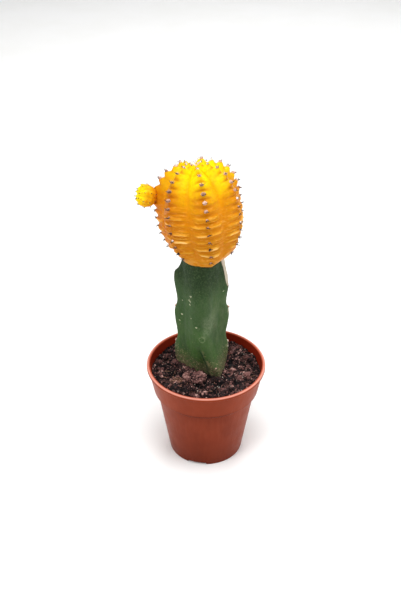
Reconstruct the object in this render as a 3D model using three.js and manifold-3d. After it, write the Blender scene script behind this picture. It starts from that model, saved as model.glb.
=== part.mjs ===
// Potted moon cactus: a yellow ribbed cactus head grafted on a three-winged green
// stem, which stands in peat in a small plastic nursery pot. A pup grows on the head.
// Millimetres, +Z up. The origin is on the pot's axis, on the surface it stands on.
// Azimuths are measured from the front (-Y) towards the right (+X).

import * as THREE from 'three';
import * as BufferGeometryUtils from 'three/addons/utils/BufferGeometryUtils.js';
import Module from 'manifold-3d';

const wasm = await Module();
wasm.setup();

// Sizes of the pot
const POT_HEIGHT = 47.7;
const POT_LIP_RADIUS = 27.5;
const POT_LIP_WIDTH = 1.5;
const POT_LIP_HEIGHT = 1.7;
const POT_COLLAR_TOP_RADIUS = 26.8;
const POT_COLLAR_FOOT_RADIUS = 24.5;
const POT_COLLAR_DEPTH = 13.2;
const POT_COLLAR_ROUNDING = 0.5;
// Corners of the lip from outside to inside: share of its width in from the rim, and
// share of its height down from the top
const POT_LIP_CORNERS = [
  [0.13, 1],
  [0, 0.65],
  [0.15, 0.2],
  [0.4, 0],
  [0.75, 0],
  [1, 0.3],
];
const POT_WALL_TOP_RADIUS = 23.0;
const POT_FOOT_RADIUS = 17.4;
const POT_FOOT_BEVEL = 0.3;
const POT_WALL = 0.9;
const POT_FLOOR = 1.0;
const POT_SEGMENTS = 48;

// Three channels under the floor lead from the drain holes out through the foot
const CHANNEL_AZIMUTHS = [-14, 106, -134];
const CHANNEL_WIDTH_DEG = 30;
const CHANNEL_HEIGHT = 1.2;
const CHANNEL_INNER_RADIUS = 8.0;
const CHANNEL_OVERLAP = 0.3;
const CHANNEL_ARC_SEGMENTS = 4;
const DRAIN_HOLE_RADIUS = 2.2;
const DRAIN_HOLE_CENTRE = 12.6;
const DRAIN_HOLE_SEGMENTS = 12;

// Clearance between pieces that touch in the real thing
const SEAT_GAP = 0.3;

// Sizes of the peat
const SOIL_LEVEL = 43.4;
const SOIL_SEGMENTS = 40;
const SOIL_RINGS = 9;
const SOIL_GRAIN = 0.3;
const SOIL_SEED = 41;
const SOIL_EDGE_SLACK = 0.2;
const SOIL_LUMPS = 46;
const SOIL_LUMP_RADIUS = [1.8, 3.6];
const SOIL_LUMP_HEIGHT = [-1.0, 1.3];
const SOIL_LUMP_FALLOFF = 1.6;
// Clods and hollows on the peat: place, radius, height
const SOIL_CLODS = [
  { x: -5.8, y: -6.9, radius: 4.8, height: 3.4 },
  { x: -10.5, y: -1.0, radius: 3.6, height: 1.2 },
  { x: -14.5, y: 5.0, radius: 3.4, height: 1.0 },
  { x: -13.5, y: -11.5, radius: 5.0, height: 1.0 },
  { x: 13.5, y: -6.0, radius: 4.6, height: 1.0 },
  { x: 17.0, y: 9.5, radius: 6.0, height: 0.9 },
  { x: 11.5, y: 1.5, radius: 2.8, height: -1.9 },
  { x: 2.5, y: -14.5, radius: 3.4, height: -1.6 },
  { x: -15.5, y: -3.5, radius: 3.0, height: -1.0 },
];

// Sizes of the green stem
const STEM_X = -2.2;
const STEM_Y = 3.3;
const STEM_FOOT = 20.0;
const STEM_TOP = 102.7;
const STEM_WING_RADIUS = 13.2;
const STEM_FACE_COLUMNS = 15;
const STEM_RINGS = 28;
const STEM_SCALLOP = 0.75;
const STEM_SCALLOP_PITCH = 19.2;
const STEM_SCALLOP_FALL = 0.66;
const STEM_BUTT_HEIGHT = 7.0;
const STEM_BUTT_SCALE = 0.72;
// The front wing turns to the right and broadens towards the soil
const STEM_TURN_TOP = 66.0;
const STEM_TURN_FOOT = 41.0;
const STEM_FRONT_TURN = 44.0;
// The old left flank of the front wing stays behind and sinks as the wing turns away, so
// that there is a crease between them: its azimuth, width, and radius above and at the soil
const STEM_FLANK_AZIMUTH = 354.0;
const STEM_FLANK_WIDTH = 120.0;
const STEM_FLANK_POWER = 3.4;
const STEM_FLANK_REACH = [11.4, 5.8];
// The wings, front, right and left: azimuth, height of one widest point of the margin, its
// reach at the graft and the height from which it is trimmed. Then how much shorter the
// wing is, the radius of the valley to its right, and how narrow it is towards its left
// and right, each above and at the soil.
const STEM_WINGS = [
  {
    azimuth: 1,
    crest: 66.0,
    trim: 8.2,
    trimFrom: 85.0,
    shorter: [1.0, 1.8],
    valley: [7.4, 10.8],
    sharpness: { left: [1.7, 8.0], right: [1.7, 1.3] },
  },
  {
    azimuth: 117,
    crest: 70.4,
    trim: 12.0,
    trimFrom: 85.0,
    shorter: [0, 0],
    valley: [7.4, 5.8],
    sharpness: { left: [2.3, 1.9], right: [2.3, 1.9] },
  },
  {
    azimuth: 239,
    crest: 70.4,
    trim: 8.0,
    trimFrom: 92.0,
    shorter: [0, 0],
    valley: [7.4, 5.8],
    sharpness: { left: [2.3, 1.9], right: [2.3, 1.9] },
  },
];
// The flat cut along the top of the right wing: the way it faces, how far out it is at
// the graft, and how much further out for each millimetre down
const STEM_CUT_AZIMUTH = 79.0;
const STEM_CUT_REACH = 8.1;
const STEM_CUT_SLOPE = 0.16;
const STEM_CUT_FROM = 85.0;
const STEM_AREOLE_RADIUS = 0.75;
const STEM_AREOLE_ABOVE_CREST = 2.2;
const STEM_AREOLE_SUNK = 0.45;

// Sizes of the yellow head
const HEAD = {
  ribs: 7,
  firstRib: 9.6,
  areoles: 14,
  radius: 17.9,
  upperHeight: 23.6,
  upperPower: 2.9,
  lowerHeight: 24.0,
  lowerPower: 1.68,
  waist: 17.35,
  lowerSpacing: 3.4,
  upperSpacing: 4.4,
  spacingTurn: 0.82,
  grooveUpper: 2.4,
  grooveLower: 1.1,
  chin: 1.55,
  chinWidth: 0.31,
  ridge: 0.36,
  phase: 0.35,
  phaseSpread: 0.25,
  ringsPerAreole: 4,
  columns: [0, 0.27, 0.62, 1],
  spineLength: 1.5,
  spineRadius: 0.3,
  spinesEach: [2, 1],
  seed: 2596,
};
const HEAD_X = -0.25;
const HEAD_Y = 4.2;
const HEAD_LEAN_LEFT_DEG = 6.8;
const HEAD_LEAN_BACK_DEG = 8.5;
const HEAD_LEAN_HEIGHT = 8.0;
const HEAD_TRIM_FACETS = 7;
const HEAD_TRIM_MIDDLE = new THREE.Vector3(-1.72, -1.97, 0);
const HEAD_TRIM_RADIUS = 8.08;
const HEAD_TRIM_SLOPE = 1.15;
const GRAFT_HEIGHT = STEM_TOP + SEAT_GAP;

// Sizes of the pup, which points out to the left and a little up and forward
const PUP = {
  ribs: 8,
  firstRib: 10,
  areoles: 4,
  radius: 4.8,
  upperHeight: 3.6,
  upperPower: 2.2,
  lowerHeight: 5.0,
  lowerPower: 2.1,
  waist: 4.6,
  lowerSpacing: 2.2,
  upperSpacing: 2.0,
  spacingTurn: 0.5,
  grooveUpper: 0.45,
  grooveLower: 0.25,
  chin: 0.5,
  chinWidth: 0.5,
  ridge: 0.0,
  phase: 0,
  phaseSpread: 0.25,
  ringsPerAreole: 3,
  columns: [0, 0.5, 1],
  spineLength: 0.9,
  spineRadius: 0.22,
  spinesEach: [1],
  seed: 23,
};
const PUP_CENTRE = new THREE.Vector3(-25.9, 7.0, 130.6);
const PUP_DIRECTION = new THREE.Vector3(-0.92, -0.28, 0.27).normalize();
const PUP_CLEAR_OF_SPINES = 7.0;
// The head swells a little towards the foot of the pup
const PUP_SWELLING_RISE = 1.6;
const PUP_SWELLING_RADIUS = 4.2;

// Form shared by the ribbed skins. The lower part's form turns into the upper part's
// between two shares of the height, and all relief fades at the foot and the crown.
const SKIN_OUTLINE_STEPS = 240;
const SKIN_UPPER_PART = [0.35, 0.75];
const SKIN_FOOT_FADE = [0.2, 2.2];
const SKIN_CROWN_FADE = 0.45;
const SKIN_SPACING_BLEND = 0.2;
const SKIN_FOOT_GROOVE = 0.35;
const SKIN_CHIN_LENGTH = 0.34;
const SKIN_CHIN_BELOW = 0.06;
const SKIN_LOWER_CHIN = 0.35;
const SKIN_CROWN_CHIN = 0.45;
const SKIN_RIDGE_FADE = 0.55;

// Form shared by the spines: root depth, place above the chin, and the spread of
// their lengths and directions
const SPINE_SIDES = 3;
const SPINE_ROOT = 0.78;
const SPINE_ABOVE_CHIN = 0.1;
const SPINE_LENGTHS = [0.75, 1.15];
const SPINE_FAN = 1.3;
const SPINE_STRAY = [-0.25, 0.25];
const SPINE_RISE = [-0.25, 0.45];

// Colours, roughness and metalness of the pieces
const POT_FINISH = { color: 0x9c4630, roughness: 0.45, metalness: 0 };
const SOIL_FINISH = { color: 0x3a2a28, roughness: 1.0, metalness: 0 };
const STEM_FINISH = { color: 0x3c5c3c, roughness: 0.6, metalness: 0 };
const HEAD_FINISH = { color: 0xeea015, roughness: 0.5, metalness: 0 };
const PUP_FINISH = { color: 0xf0c818, roughness: 0.5, metalness: 0 };

const { lerp, degToRad, clamp, smoothstep } = THREE.MathUtils;
const AXIS_X = new THREE.Vector3(1, 0, 0);
const AXIS_Y = new THREE.Vector3(0, 1, 0);

// Seeded random numbers between 0 and 1
function randomSource(seed) {
  let state = seed;
  return () => {
    state = (state + 0x6d2b79f5) | 0;
    let mixed = Math.imul(state ^ (state >>> 15), 1 | state);
    mixed = (mixed + Math.imul(mixed ^ (mixed >>> 7), 61 | mixed)) ^ mixed;
    return ((mixed ^ (mixed >>> 14)) >>> 0) / 4294967296;
  };
}

// Closed solid through a stack of rings, each ring a list of points running the
// same way round, with one point in the middle of the first and the last ring
function ringSolid(rings, firstPoint, lastPoint) {
  const positions = [firstPoint.x, firstPoint.y, firstPoint.z];
  const count = rings[0].length;
  for (const ring of rings) {
    for (const point of ring) {
      positions.push(point.x, point.y, point.z);
    }
  }
  positions.push(lastPoint.x, lastPoint.y, lastPoint.z);
  const last = positions.length / 3 - 1;
  const at = (ring, column) => 1 + ring * count + (column % count);
  const indices = [];
  for (let column = 0; column < count; column += 1) {
    indices.push(0, at(0, column + 1), at(0, column));
    indices.push(last, at(rings.length - 1, column), at(rings.length - 1, column + 1));
    for (let ring = 0; ring < rings.length - 1; ring += 1) {
      const a = at(ring, column);
      const b = at(ring, column + 1);
      const c = at(ring + 1, column + 1);
      const d = at(ring + 1, column);
      indices.push(a, b, c);
      indices.push(a, c, d);
    }
  }
  const geometry = new THREE.BufferGeometry();
  geometry.setAttribute('position', new THREE.Float32BufferAttribute(positions, 3));
  geometry.setIndex(indices);
  return geometry;
}

// A solid for cutting and joining, from a geometry
function toSolid(source) {
  const geometry = source.clone();
  geometry.deleteAttribute('normal');
  geometry.deleteAttribute('uv');
  const merged = BufferGeometryUtils.mergeVertices(geometry, 1e-5);
  return new wasm.Manifold(new wasm.Mesh({
    numProp: 3,
    vertProperties: new Float32Array(merged.attributes.position.array),
    triVerts: new Uint32Array(merged.index.array),
  }));
}

// A geometry for drawing, from a solid
function toGeometry(solid) {
  const mesh = solid.getMesh();
  const geometry = new THREE.BufferGeometry();
  geometry.setAttribute('position', new THREE.Float32BufferAttribute(mesh.vertProperties, 3));
  geometry.setIndex(new THREE.Uint32BufferAttribute(mesh.triVerts, 1));
  geometry.computeVertexNormals();
  return geometry;
}

function namedMesh(name, solid, finish) {
  const mesh = new THREE.Mesh(toGeometry(solid), new THREE.MeshStandardMaterial(finish));
  mesh.name = name;
  return mesh;
}

// Direction at an azimuth, level with the ground
function heading(azimuthDeg) {
  const angle = degToRad(azimuthDeg);
  return new THREE.Vector3(Math.sin(angle), -Math.cos(angle), 0);
}

// A ring sector between two radii, as an upright block
function sectorBlock(azimuthDeg, widthDeg, innerRadius, outerRadius, bottom, top) {
  const middle = degToRad(azimuthDeg - 90);
  const half = degToRad(widthDeg) / 2;
  const outline = new THREE.Shape();
  outline.absarc(0, 0, outerRadius, middle - half, middle + half, false);
  outline.absarc(0, 0, innerRadius, middle + half, middle - half, true);
  const block = new THREE.ExtrudeGeometry(outline, {
    depth: top - bottom,
    bevelEnabled: false,
    curveSegments: CHANNEL_ARC_SEGMENTS,
  });
  block.translate(0, 0, bottom);
  return toSolid(block);
}

// The pot's wall radius at a height, on the outside of the lower wall
function lowerWallRadius(height) {
  const shoulder = POT_HEIGHT - POT_COLLAR_DEPTH;
  return lerp(POT_FOOT_RADIUS, POT_WALL_TOP_RADIUS, height / shoulder);
}

// The pot's wall radius at a height, on the outside of the collar
function collarRadius(height) {
  const shoulder = POT_HEIGHT - POT_COLLAR_DEPTH;
  const share = (height - shoulder) / (POT_HEIGHT - POT_LIP_HEIGHT - shoulder);
  return lerp(POT_COLLAR_FOOT_RADIUS, POT_COLLAR_TOP_RADIUS, share);
}

// The raised pads over the drain channels, also used to cut the peat clear of them
function channelPad(azimuth, clearance) {
  const padTop = CHANNEL_HEIGHT + POT_FLOOR + clearance;
  const sideAngle = THREE.MathUtils.radToDeg((POT_WALL + clearance) / CHANNEL_INNER_RADIUS);
  return sectorBlock(
    azimuth,
    CHANNEL_WIDTH_DEG + 2 * sideAngle,
    CHANNEL_INNER_RADIUS - POT_WALL - clearance,
    POT_FOOT_RADIUS - CHANNEL_OVERLAP + 4 * clearance,
    POT_FLOOR / 2,
    padTop,
  );
}

function makePot() {
  const shoulder = POT_HEIGHT - POT_COLLAR_DEPTH;
  const lipBottom = POT_HEIGHT - POT_LIP_HEIGHT;
  const innerShoulder = shoulder - POT_WALL;
  const lip = POT_LIP_CORNERS.map(([inward, down]) => [
    POT_LIP_RADIUS - inward * POT_LIP_WIDTH,
    POT_HEIGHT - down * POT_LIP_HEIGHT,
  ]);
  const profile = [
    [0, 0],
    [POT_FOOT_RADIUS - POT_FOOT_BEVEL, 0],
    [lowerWallRadius(POT_FOOT_BEVEL), POT_FOOT_BEVEL],
    [POT_WALL_TOP_RADIUS, shoulder],
    [POT_COLLAR_FOOT_RADIUS - POT_COLLAR_ROUNDING, shoulder],
    [collarRadius(shoulder + POT_COLLAR_ROUNDING), shoulder + POT_COLLAR_ROUNDING],
    [POT_COLLAR_TOP_RADIUS, lipBottom],
    ...lip,
    [collarRadius(shoulder) - POT_WALL, shoulder],
    [POT_WALL_TOP_RADIUS - POT_WALL, innerShoulder],
    [lowerWallRadius(POT_FLOOR) - POT_WALL, POT_FLOOR],
    [0, POT_FLOOR],
  ].map(([radius, height]) => new THREE.Vector2(radius, height));
  const moulding = new THREE.LatheGeometry(profile, POT_SEGMENTS);
  moulding.rotateX(Math.PI / 2);
  let pot = toSolid(moulding);
  const holeDepth = 3 * (CHANNEL_HEIGHT + POT_FLOOR);
  for (const azimuth of CHANNEL_AZIMUTHS) {
    pot = pot.add(channelPad(azimuth, 0));
    pot = pot.subtract(sectorBlock(
      azimuth,
      CHANNEL_WIDTH_DEG,
      CHANNEL_INNER_RADIUS,
      POT_LIP_RADIUS,
      -CHANNEL_HEIGHT,
      CHANNEL_HEIGHT,
    ));
    const hole = new THREE.CylinderGeometry(
      DRAIN_HOLE_RADIUS,
      DRAIN_HOLE_RADIUS,
      holeDepth,
      DRAIN_HOLE_SEGMENTS,
    );
    hole.rotateX(Math.PI / 2);
    const centre = heading(azimuth).multiplyScalar(DRAIN_HOLE_CENTRE);
    hole.translate(centre.x, centre.y, 0);
    pot = pot.subtract(toSolid(hole));
  }
  return pot;
}

// How far the stem's form has changed at a height: 0 above, 1 at the soil
function footShareAt(height) {
  return 1 - smoothstep(height, STEM_TURN_FOOT, STEM_TURN_TOP);
}

// Azimuth of a wing at a height; the front one turns to the right near the soil
function wingAzimuth(wing, height) {
  const turn = wing === 0 ? STEM_FRONT_TURN * footShareAt(height) : 0;
  return STEM_WINGS[wing].azimuth + turn;
}

// Reach of a wing's margin at a height: it swells quickly under each areole and
// narrows slowly down to the next one, and is trimmed back to the graft at the top
function wingReach(wing, height) {
  const level = Math.max(height, STEM_TURN_FOOT);
  const turns = (STEM_WINGS[wing].crest - level) / STEM_SCALLOP_PITCH;
  const phase = turns - Math.floor(turns);
  const wave = phase < STEM_SCALLOP_FALL
    ? Math.cos(Math.PI * phase / STEM_SCALLOP_FALL)
    : -Math.cos(Math.PI * (phase - STEM_SCALLOP_FALL) / (1 - STEM_SCALLOP_FALL));
  const { trim, trimFrom } = STEM_WINGS[wing];
  const trimmed = clamp((height - trimFrom) / (STEM_TOP - trimFrom), 0, 1);
  const shorter = lerp(...STEM_WINGS[wing].shorter, footShareAt(height));
  return lerp(STEM_WING_RADIUS - shorter + STEM_SCALLOP * wave, trim, trimmed);
}

// Point on the stem's skin between a wing and the next one to its right: a share
// of 0 is on the wing's margin, 0.5 is in the valley. Clearance moves it outwards.
function stemPoint(wing, share, height, clearance) {
  const next = (wing + 1) % STEM_WINGS.length;
  const near = share < 0.5 ? wing : next;
  const { left, right } = STEM_WINGS[near].sharpness;
  const footShare = footShareAt(height);
  const valley = lerp(...STEM_WINGS[wing].valley, footShare);
  const sharpness = lerp(...(near === wing ? right : left), footShare);
  const lobe = Math.pow(Math.cos(Math.PI * Math.min(share, 1 - share)), 2 * sharpness);
  const buttShare = clamp((height - STEM_FOOT) / STEM_BUTT_HEIGHT, 0, 1);
  const butt = lerp(STEM_BUTT_SCALE, 1, Math.sqrt(buttShare));
  const from = wingAzimuth(wing, height);
  const to = wingAzimuth(next, height) + (next === 0 ? 360 : 0);
  const azimuth = lerp(from, to, share);
  const offFlank = clamp(Math.abs(azimuth - STEM_FLANK_AZIMUTH) / STEM_FLANK_WIDTH, 0, 0.5);
  const flank = Math.pow(Math.cos(Math.PI * offFlank), STEM_FLANK_POWER);
  const flankReach = Math.min(lerp(...STEM_FLANK_REACH, footShare), wingReach(0, height));
  const radius = Math.max(
    lerp(valley, wingReach(near, height), lobe),
    lerp(valley, flankReach, flank),
  );
  const place = heading(azimuth).multiplyScalar(butt * radius + clearance);
  const cut = heading(STEM_CUT_AZIMUTH);
  const over = place.dot(cut) - STEM_CUT_REACH - (STEM_TOP - height) * STEM_CUT_SLOPE;
  if (height > STEM_CUT_FROM && over > 0) {
    place.addScaledVector(cut, -over);
  }
  return place.add(new THREE.Vector3(STEM_X, STEM_Y, height));
}

function stemSolid(clearance) {
  const rings = [];
  for (let ring = 0; ring <= STEM_RINGS; ring += 1) {
    const height = lerp(STEM_FOOT - clearance, STEM_TOP, ring / STEM_RINGS);
    const points = [];
    for (let wing = 0; wing < STEM_WINGS.length; wing += 1) {
      for (let column = 0; column < STEM_FACE_COLUMNS; column += 1) {
        const share = (1 - Math.cos(Math.PI * column / STEM_FACE_COLUMNS)) / 2;
        points.push(stemPoint(wing, share, height, clearance));
      }
    }
    rings.push(points);
  }
  const foot = new THREE.Vector3(STEM_X, STEM_Y, STEM_FOOT - clearance);
  const top = new THREE.Vector3(STEM_X, STEM_Y, STEM_TOP);
  return toSolid(ringSolid(rings, foot, top));
}

// A small woolly cushion on a wing's margin
function stemAreole(wing, height) {
  const cushion = new THREE.IcosahedronGeometry(STEM_AREOLE_RADIUS, 0);
  const place = stemPoint(wing, 0, height, -STEM_AREOLE_RADIUS * STEM_AREOLE_SUNK);
  cushion.translate(place.x, place.y, place.z);
  return toSolid(cushion);
}

function makeRootstock() {
  let stem = stemSolid(0);
  STEM_WINGS.forEach(({ crest }, wing) => {
    for (const turns of [-1, 0]) {
      const height = crest + turns * STEM_SCALLOP_PITCH + STEM_AREOLE_ABOVE_CREST;
      stem = stem.add(stemAreole(wing, height));
    }
  });
  return stem;
}

// Small clods strewn over the peat, besides the ones placed by hand
function strewnClods(random) {
  const clods = [];
  for (let index = 0; index < SOIL_LUMPS; index += 1) {
    const place = heading(360 * random()).multiplyScalar(POT_COLLAR_FOOT_RADIUS * Math.sqrt(random()));
    clods.push({
      x: place.x,
      y: place.y,
      radius: lerp(...SOIL_LUMP_RADIUS, random()),
      height: lerp(...SOIL_LUMP_HEIGHT, random()),
    });
  }
  return clods;
}

// Height of the peat's surface at a place
function soilHeight(x, y, clods, random) {
  let height = SOIL_LEVEL + SOIL_GRAIN * (2 * random() - 1);
  for (const clod of clods) {
    const distance = Math.hypot(x - clod.x, y - clod.y) / clod.radius;
    height += clod.height * Math.exp(-distance * distance * SOIL_LUMP_FALLOFF);
  }
  return height;
}

function makeSoil() {
  const random = randomSource(SOIL_SEED);
  const clods = [...SOIL_CLODS, ...strewnClods(random)];
  const shoulder = POT_HEIGHT - POT_COLLAR_DEPTH;
  const edgeInset = POT_WALL + SEAT_GAP;
  const levels = [
    [POT_FOOT_RADIUS / 2, POT_FLOOR + SEAT_GAP],
    [lowerWallRadius(POT_FLOOR) - edgeInset, POT_FLOOR + SEAT_GAP],
    [lowerWallRadius(shoulder - edgeInset) - edgeInset, shoulder - edgeInset],
    [collarRadius(shoulder) - edgeInset - SOIL_EDGE_SLACK, shoulder],
  ];
  const circle = (radius, heightAt) => {
    const points = [];
    for (let column = 0; column < SOIL_SEGMENTS; column += 1) {
      const place = heading(360 * column / SOIL_SEGMENTS).multiplyScalar(radius);
      points.push(place.setZ(heightAt(place)));
    }
    return points;
  };
  const rings = levels.map(([radius, height]) => circle(radius, () => height));
  const edgeRadius = collarRadius(SOIL_LEVEL) - edgeInset - 2 * SOIL_EDGE_SLACK;
  for (let ring = SOIL_RINGS; ring > 0; ring -= 1) {
    const radius = edgeRadius * ring / SOIL_RINGS;
    rings.push(circle(radius, (place) => soilHeight(place.x, place.y, clods, random)));
  }
  const bottom = new THREE.Vector3(0, 0, POT_FLOOR + SEAT_GAP);
  const top = new THREE.Vector3(0, 0, SOIL_LEVEL);
  let soil = toSolid(ringSolid(rings, bottom, top));
  for (const azimuth of CHANNEL_AZIMUTHS) {
    soil = soil.subtract(channelPad(azimuth, SEAT_GAP));
  }
  return soil.subtract(stemSolid(SEAT_GAP));
}

// Skin of a ribbed cactus body whose axis is +Z and whose foot is at the origin.
// The place along a rib is counted in areoles: 0 at the foot, 1 at the lowest
// areole, and areoles + 1 at the crown.
class RibbedSkin {
  constructor(sizes) {
    this.sizes = sizes;
    this.random = randomSource(sizes.seed);
    this.phases = [];
    for (let rib = 0; rib < sizes.ribs; rib += 1) {
      this.phases.push(sizes.phase + sizes.phaseSpread * (2 * this.random() - 1));
    }
    this.outline = this.makeOutline();
    this.marks = this.makeMarks();
  }

  // The outline from the foot to the crown, with the length run along it
  makeOutline() {
    const { radius, waist } = this.sizes;
    const { upperHeight, upperPower, lowerHeight, lowerPower } = this.sizes;
    const steps = SKIN_OUTLINE_STEPS;
    const outline = [];
    const footAngle = -Math.asin(Math.pow(waist / lowerHeight, lowerPower / 2));
    let length = 0;
    for (let step = 0; step <= steps; step += 1) {
      const angle = lerp(footAngle, Math.PI / 2, step / steps);
      const upper = angle >= 0;
      const power = upper ? upperPower : lowerPower;
      const height = upper ? upperHeight : lowerHeight;
      const r = radius * Math.pow(Math.max(Math.cos(angle), 0), 2 / power);
      const rise = height * Math.sign(angle) * Math.pow(Math.abs(Math.sin(angle)), 2 / power);
      const point = { r, z: waist + rise, length: 0 };
      if (step > 0) {
        const before = outline[step - 1];
        length += Math.hypot(point.r - before.r, point.z - before.z);
      }
      point.length = length;
      outline.push(point);
    }
    return outline;
  }

  // Length along the outline at each whole count of areoles
  makeMarks() {
    const { areoles, lowerSpacing, upperSpacing, spacingTurn } = this.sizes;
    const marks = [0];
    for (let index = 0; index <= areoles; index += 1) {
      const from = spacingTurn - SKIN_SPACING_BLEND;
      const turn = smoothstep(index / areoles, from, from + 2 * SKIN_SPACING_BLEND);
      marks.push(marks[index] + lerp(lowerSpacing, upperSpacing, turn));
    }
    const total = this.outline[this.outline.length - 1].length;
    return marks.map((mark) => mark * total / marks[marks.length - 1]);
  }

  // The outline's point and outward direction at a count of areoles
  outlineAt(count) {
    const top = this.marks.length - 1;
    const bounded = clamp(count, 0, top);
    const index = Math.min(Math.floor(bounded), top - 1);
    const length = lerp(this.marks[index], this.marks[index + 1], bounded - index);
    let step = 1;
    while (step < this.outline.length - 1 && this.outline[step].length < length) {
      step += 1;
    }
    const a = this.outline[step - 1];
    const b = this.outline[step];
    const share = (length - a.length) / (b.length - a.length);
    const run = b.length - a.length;
    return {
      r: lerp(a.r, b.r, share),
      z: lerp(a.z, b.z, share),
      outR: (b.z - a.z) / run,
      outZ: -(b.r - a.r) / run,
    };
  }

  // Place of a rib column: rib number and side, from -1 through the crest to 1
  point(rib, side, count) {
    const { ribs, firstRib, areoles, grooveUpper, grooveLower } = this.sizes;
    const { chin, chinWidth, ridge, radius } = this.sizes;
    const neighbour = (rib + (side > 0 ? 1 : ribs - 1)) % ribs;
    const own = this.phases[rib];
    const other = this.phases[neighbour];
    const ends = smoothstep(count, 0, 1) * (1 - smoothstep(count, areoles, areoles + 1));
    const phase = lerp(own, (own + other) / 2, smoothstep(Math.abs(side), 0.5, 1)) * ends;
    const base = this.outlineAt(count + phase);
    const upper = smoothstep(count / areoles, ...SKIN_UPPER_PART);
    const crownFade = smoothstep(base.r / radius, 0, SKIN_CROWN_FADE);
    const footFade = smoothstep(count, ...SKIN_FOOT_FADE);
    const vee = 1 - Math.cos(Math.PI * side / 2);
    const groove = lerp(grooveLower, grooveUpper, upper) * vee;
    const offset = count - Math.round(count);
    const inRange = count > 0.5 && count < areoles + 0.5 ? 1 : 0;
    const bump = Math.exp(-Math.pow((offset + SKIN_CHIN_BELOW) / SKIN_CHIN_LENGTH, 2))
      * Math.exp(-Math.pow(side / chinWidth, 2));
    const chinSize = chin * lerp(SKIN_LOWER_CHIN, 1, upper) * lerp(SKIN_CROWN_CHIN, 1, crownFade);
    const wave = 0.5 + 0.5 * Math.cos(2 * Math.PI * offset);
    const ridgeSize = ridge * (1 - upper) * (1 - SKIN_RIDGE_FADE * side * side);
    const relief = footFade * inRange * (chinSize * bump + ridgeSize * wave)
      - crownFade * lerp(SKIN_FOOT_GROOVE, 1, footFade) * groove;
    const r = Math.max(base.r + base.outR * relief, 0);
    const azimuth = firstRib + 360 * (rib + side / 2) / ribs;
    const place = heading(azimuth).multiplyScalar(r);
    return place.setZ(base.z + base.outZ * relief);
  }

  // Whole skin as a closed body, each point passed through a placing function
  body(placePoint) {
    const { ribs, areoles, ringsPerAreole, columns } = this.sizes;
    const sides = [...columns.slice(1, -1).reverse().map((side) => -side), ...columns];
    const rings = [];
    for (let ring = 0; ring < (areoles + 1) * ringsPerAreole; ring += 1) {
      const count = ring / ringsPerAreole;
      const points = [];
      for (let rib = 0; rib < ribs; rib += 1) {
        for (const side of sides) {
          points.push(placePoint(this.point(rib, side, count)));
        }
      }
      rings.push(points);
    }
    const foot = placePoint(new THREE.Vector3(0, 0, 0));
    const crown = placePoint(this.point(0, 0, areoles + 1));
    return toSolid(ringSolid(rings, foot, crown));
  }

  // Short three-sided spines, rooted in each areole and spreading from it
  spines(placePoint, keep) {
    const { ribs, areoles, spineLength, spineRadius, spinesEach } = this.sizes;
    const cones = [];
    for (let rib = 0; rib < ribs; rib += 1) {
      for (let areole = 1; areole <= areoles; areole += 1) {
        const count = areole + SPINE_ABOVE_CHIN;
        const root = placePoint(this.point(rib, 0, count));
        const along = placePoint(this.point(rib, 0, count + SPINE_ABOVE_CHIN));
        const across = placePoint(this.point(rib, SPINE_ABOVE_CHIN, count));
        const up = along.clone().sub(root).normalize();
        const side = across.clone().sub(root).normalize();
        const out = side.clone().cross(up).normalize();
        const amount = spinesEach[(rib + areole) % spinesEach.length];
        for (let spine = 0; spine < amount; spine += 1) {
          const fan = (spine - (amount - 1) / 2) * SPINE_FAN;
          const spread = fan + lerp(...SPINE_STRAY, this.random());
          const rise = lerp(...SPINE_RISE, this.random());
          const length = spineLength * lerp(...SPINE_LENGTHS, this.random());
          const direction = out.clone().addScaledVector(side, spread).addScaledVector(up, rise);
          direction.normalize();
          if (keep(root)) {
            cones.push(this.cone(root, direction, length, spineRadius));
          }
        }
      }
    }
    return cones;
  }

  cone(root, direction, length, radius) {
    const full = length + SPINE_ROOT;
    const cone = new THREE.ConeGeometry(radius, full, SPINE_SIDES);
    cone.translate(0, full / 2 - SPINE_ROOT, 0);
    cone.applyQuaternion(new THREE.Quaternion().setFromUnitVectors(
      new THREE.Vector3(0, 1, 0),
      direction,
    ));
    cone.translate(root.x, root.y, root.z);
    return toSolid(cone);
  }
}

// Sets a point of the head on the graft: flat facets are trimmed round its foot,
// and above them its axis leans to the left and to the back
function placeOnGraft(point, clearance) {
  const placed = point.clone();
  for (let facet = 0; facet < HEAD_TRIM_FACETS; facet += 1) {
    const out = heading(360 * facet / HEAD_TRIM_FACETS);
    const reach = placed.clone().sub(HEAD_TRIM_MIDDLE).dot(out);
    const beyond = reach - HEAD_TRIM_RADIUS - HEAD_TRIM_SLOPE * point.z;
    placed.addScaledVector(out, -Math.max(beyond, 0));
  }
  const radius = Math.hypot(placed.x, placed.y);
  if (radius > 0) {
    placed.x *= 1 + clearance / radius;
    placed.y *= 1 + clearance / radius;
  }
  const share = smoothstep(placed.z, 0, HEAD_LEAN_HEIGHT);
  placed.applyAxisAngle(AXIS_Y, -degToRad(HEAD_LEAN_LEFT_DEG) * share);
  placed.applyAxisAngle(AXIS_X, -degToRad(HEAD_LEAN_BACK_DEG) * share);
  placed.add(new THREE.Vector3(HEAD_X, HEAD_Y, GRAFT_HEIGHT));
  const pupFoot = PUP_CENTRE.clone().addScaledVector(PUP_DIRECTION, -PUP.waist);
  const distance = placed.distanceTo(pupFoot) / PUP_SWELLING_RADIUS;
  return placed.addScaledVector(PUP_DIRECTION, PUP_SWELLING_RISE * Math.exp(-distance * distance));
}

// Sets a point of the pup, whose own axis is +Z, on the flank of the head
function placePup(point) {
  const turn = new THREE.Quaternion().setFromUnitVectors(new THREE.Vector3(0, 0, 1), PUP_DIRECTION);
  const placed = point.clone();
  placed.z -= PUP.waist;
  return placed.applyQuaternion(turn).add(PUP_CENTRE);
}

function fuse(body, pieces) {
  let whole = body;
  for (const piece of pieces) {
    whole = whole.add(piece);
  }
  return whole;
}

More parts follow.
